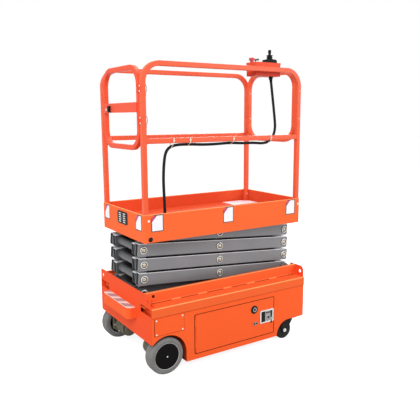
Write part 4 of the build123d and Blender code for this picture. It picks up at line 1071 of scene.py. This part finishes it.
# Painted shade: the lower part of the box, below the rail, takes a darker orange.
box_shade = box_coat.along("Z") < box_low.z + 0.042
box_orange = box_coat.mix(box_shade, (0.7, 0.086, 0.038), (0.58, 0.042, 0.014))
box_coat.set(Base_Color=box_coat.mix(box_gland, box_orange, (0.012, 0.012, 0.013)),
             Roughness=0.34 + box_coat.noise(45.0) * 0.14,
             Normal=box_coat.bump(box_coat.noise(380.0), 0.0003, 0.2), Specular_IOR_Level=0.08)
dress(box_coat, "control_box")
box_trim = bmesh.new()
add_block(box_trim, (box_low.x - 0.0003, box_low.y + 0.0002, box_high.z - 0.012),
          (box_high.x + 0.0003, box_high.y + 0.0008, box_high.z + 0.001), round_edges=0.0008)
for x in (box_low.x + 0.012, box_high.x - 0.012):
    for y in (box_low.y + 0.012, box_high.y - 0.012):
        add_turned(box_trim, ((0.0, 0.0034), (0.003, 0.0032), (0.0048, 0.0008)),
                   Matrix.Translation((x, y, box_high.z)), 14, ((1.0, 1),))
piece("control_box_trim", box_trim, "platform", box_coat, zinc, slot="orange_paint")

# Joystick, stop button and lift switch on the lid. The stick stands in a bellows boot on its
# square base, and the red mushroom button and a toggle in a dark green collar sit beside it.
dress(moulded_black, "joystick")
stick_low, stick_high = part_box("joystick")
stick_middle = middle(stick_low, stick_high)
screw_seat = Matrix.Translation((stick_middle.x, stick_middle.y, stick_low.z + 0.014))
stick_screws = bmesh.new()
for away_x in (-0.026, 0.026):
    for away_y in (-0.026, 0.026):
        add_turned(stick_screws, ((0.0, 0.0018), (0.002, 0.0016), (0.003, 0.0)),
                   screw_seat @ Matrix.Translation((away_x, away_y, 0.0)), 12)
piece("joystick_screws", stick_screws, "platform", wire, slot="black_plastic")
stick_boot = bmesh.new()
stick_seat = Matrix.Translation((stick_middle.x, stick_middle.y, stick_high.z))
add_turned(stick_boot, (
    (0.0, -0.001), (0.0085, -0.001), (0.01, -0.003), (0.01, -0.019), (0.0085, -0.0215),
    (0.0085, -0.031), (0.013, -0.0325), (0.0205, -0.0345), (0.0215, -0.0365),
    (0.0205, -0.039), (0.016, -0.041), (0.016, -0.044), (0.019, -0.046), (0.0195, -0.048),
    (0.019, -0.05), (0.016, -0.052), (0.016, -0.064)), stick_seat, 32)
add_turned(stick_boot, ((0.012, -0.063), (0.0448, -0.063), (0.046, -0.0645),
                        (0.046, -0.083)), stick_seat, 40)
piece("joystick_boot", stick_boot, "platform", black_rubber, slot="black_plastic")
red_plastic = mottled("red_plastic", 90.0, (0.44, 0.024, 0.028), (0.54, 0.034, 0.038),
                      Roughness=(0.22, 0.15))
dress(red_plastic, "stop_button")
green_collar = mottled("green_collar", 100.0, (0.02, 0.05, 0.04), (0.035, 0.09, 0.065),
                       Roughness=0.4)
lift_switch = bmesh.new()
lid_top = box_high.z + 0.001
switch_seat = Matrix.Translation((0.313, -0.19, lid_top))
add_turned(lift_switch, ((0.0, 0.007), (0.0062, 0.007), (0.0088, 0.005), (0.01, 0.0),
                         (0.0, 0.0)), switch_seat, 16, ((0.0063, 1),))
add_turned(lift_switch, ((0.0, 0.022), (0.004, 0.0215), (0.0045, 0.0)), switch_seat, 14)
bat_place = switch_seat @ Matrix.Translation((0.0, 0.0, 0.02)) @ Matrix.Rotation(1.45, 4, "Y")
add_turned(lift_switch, ((0.0, 0.027), (0.0055, 0.0255), (0.0068, 0.021), (0.005, -0.007),
                         (0.0, -0.008)), bat_place, 14)
stop_middle = middle(*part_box("stop_button"))
add_turned(lift_switch, ((0.013, 0.001), (0.015, 0.0014), (0.02, 0.0014), (0.0205, 0.0)),
           Matrix.Translation((stop_middle.x, stop_middle.y, lid_top)), 28, ((1.0, 2),))
piece("lift_switch", lift_switch, "platform", green_collar, wire, moulded_black,
      slot="black_plastic")

# Cable fittings. A threaded gland with a tapered rubber boot where the cable leaves the box,
# and a soft rubber collar where it goes through the floor.
dress(black_rubber, "cable_grommet")
bore = 0.0087
exit_place = facing(cable_points[0], Vector(cable_points[1]) - Vector(cable_points[0]),
                    (0, 1, 0))
cable_gland = bmesh.new()
add_turned(cable_gland, ((bore, 0.022), (0.0091, 0.0215), (0.0097, 0.006), (0.012, 0.005),
                         (0.012, -0.002), (bore, -0.002), (bore, 0.022)), exit_place)
for ring in range(5):
    height = 0.008 + ring * 0.003
    reach = 0.0098 - ring * 0.00014
    add_turned(cable_gland, ((reach - 0.001, height - 0.0012), (reach + 0.0004, height),
                             (reach - 0.001, height + 0.0012)), exit_place)
piece("cable_gland", cable_gland, "platform", black_rubber, slot="cable")
collar = bmesh.new()
grommet_low, grommet_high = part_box("cable_grommet")
floor_hole = middle(grommet_low, grommet_high)
floor_hole.z = grommet_low.z
add_turned(collar, ((bore, 0.018), (0.011, 0.017), (0.0135, 0.0085), (0.0185, 0.008),
                    (0.02, 0.005), (0.0205, 0.0)), Matrix.Translation(floor_hole), 32)
piece("cable_collar", collar, "platform", black_rubber, slot="cable")

# Cable ties. Cream nylon straps drawn round the middle rail and the cable together, each with
# its small head and a cut tail.
tie_nylon = mottled("cream_tie_nylon", 120.0, (0.78, 0.72, 0.62), (0.88, 0.84, 0.76),
                    Roughness=0.42)
strap_half = tube_half + 0.0004
for index, x in enumerate((0.364, 0.069, -0.242, -0.353), 1):
    tie_place = Matrix.Translation((x, -rail_y, middle_rail_z))
    beside = min(cable_run, key=lambda spot: abs(spot.x - x) + (spot.z > middle_rail_z + 0.026))
    tie = bmesh.new()
    for edge_x in (x - 0.0022, x + 0.0022):
        bmesh.ops.create_circle(
            tie, cap_ends=False, segments=4, radius=strap_half * math.sqrt(2.0),
            matrix=facing((edge_x, -rail_y, middle_rail_z), (1, 0, 0))
            @ Matrix.Rotation(math.radians(45.0), 4, "Z"))
        bmesh.ops.create_circle(
            tie, cap_ends=False, segments=20, radius=cable_diameter / 2 + 0.0004,
            matrix=facing((edge_x, beside.y, beside.z), (1, 0, 0)))
    hull = bmesh.ops.convex_hull(tie, input=tie.verts)
    spare = {item for item in hull["geom_interior"] + hull["geom_unused"]
             if isinstance(item, bmesh.types.BMVert)}
    bmesh.ops.delete(tie, geom=list(spare), context="VERTS")
    ends = [face for face in tie.faces if abs(face.normal.x) > 0.9]
    bmesh.ops.delete(tie, geom=ends, context="FACES")
    bmesh.ops.recalc_face_normals(tie, faces=tie.faces)
    bmesh.ops.solidify(tie, geom=list(tie.faces), thickness=-0.001)
    add_block(tie, (-0.0046, -0.02, -0.006), (0.0046, -0.0158, 0.004), tie_place, 0.0006)
    add_block(tie, (-0.0018, -0.028, -0.0005), (0.0018, -0.018, 0.0005), tie_place)
    piece(f"cable_tie_{index}", tie, "platform", tie_nylon)
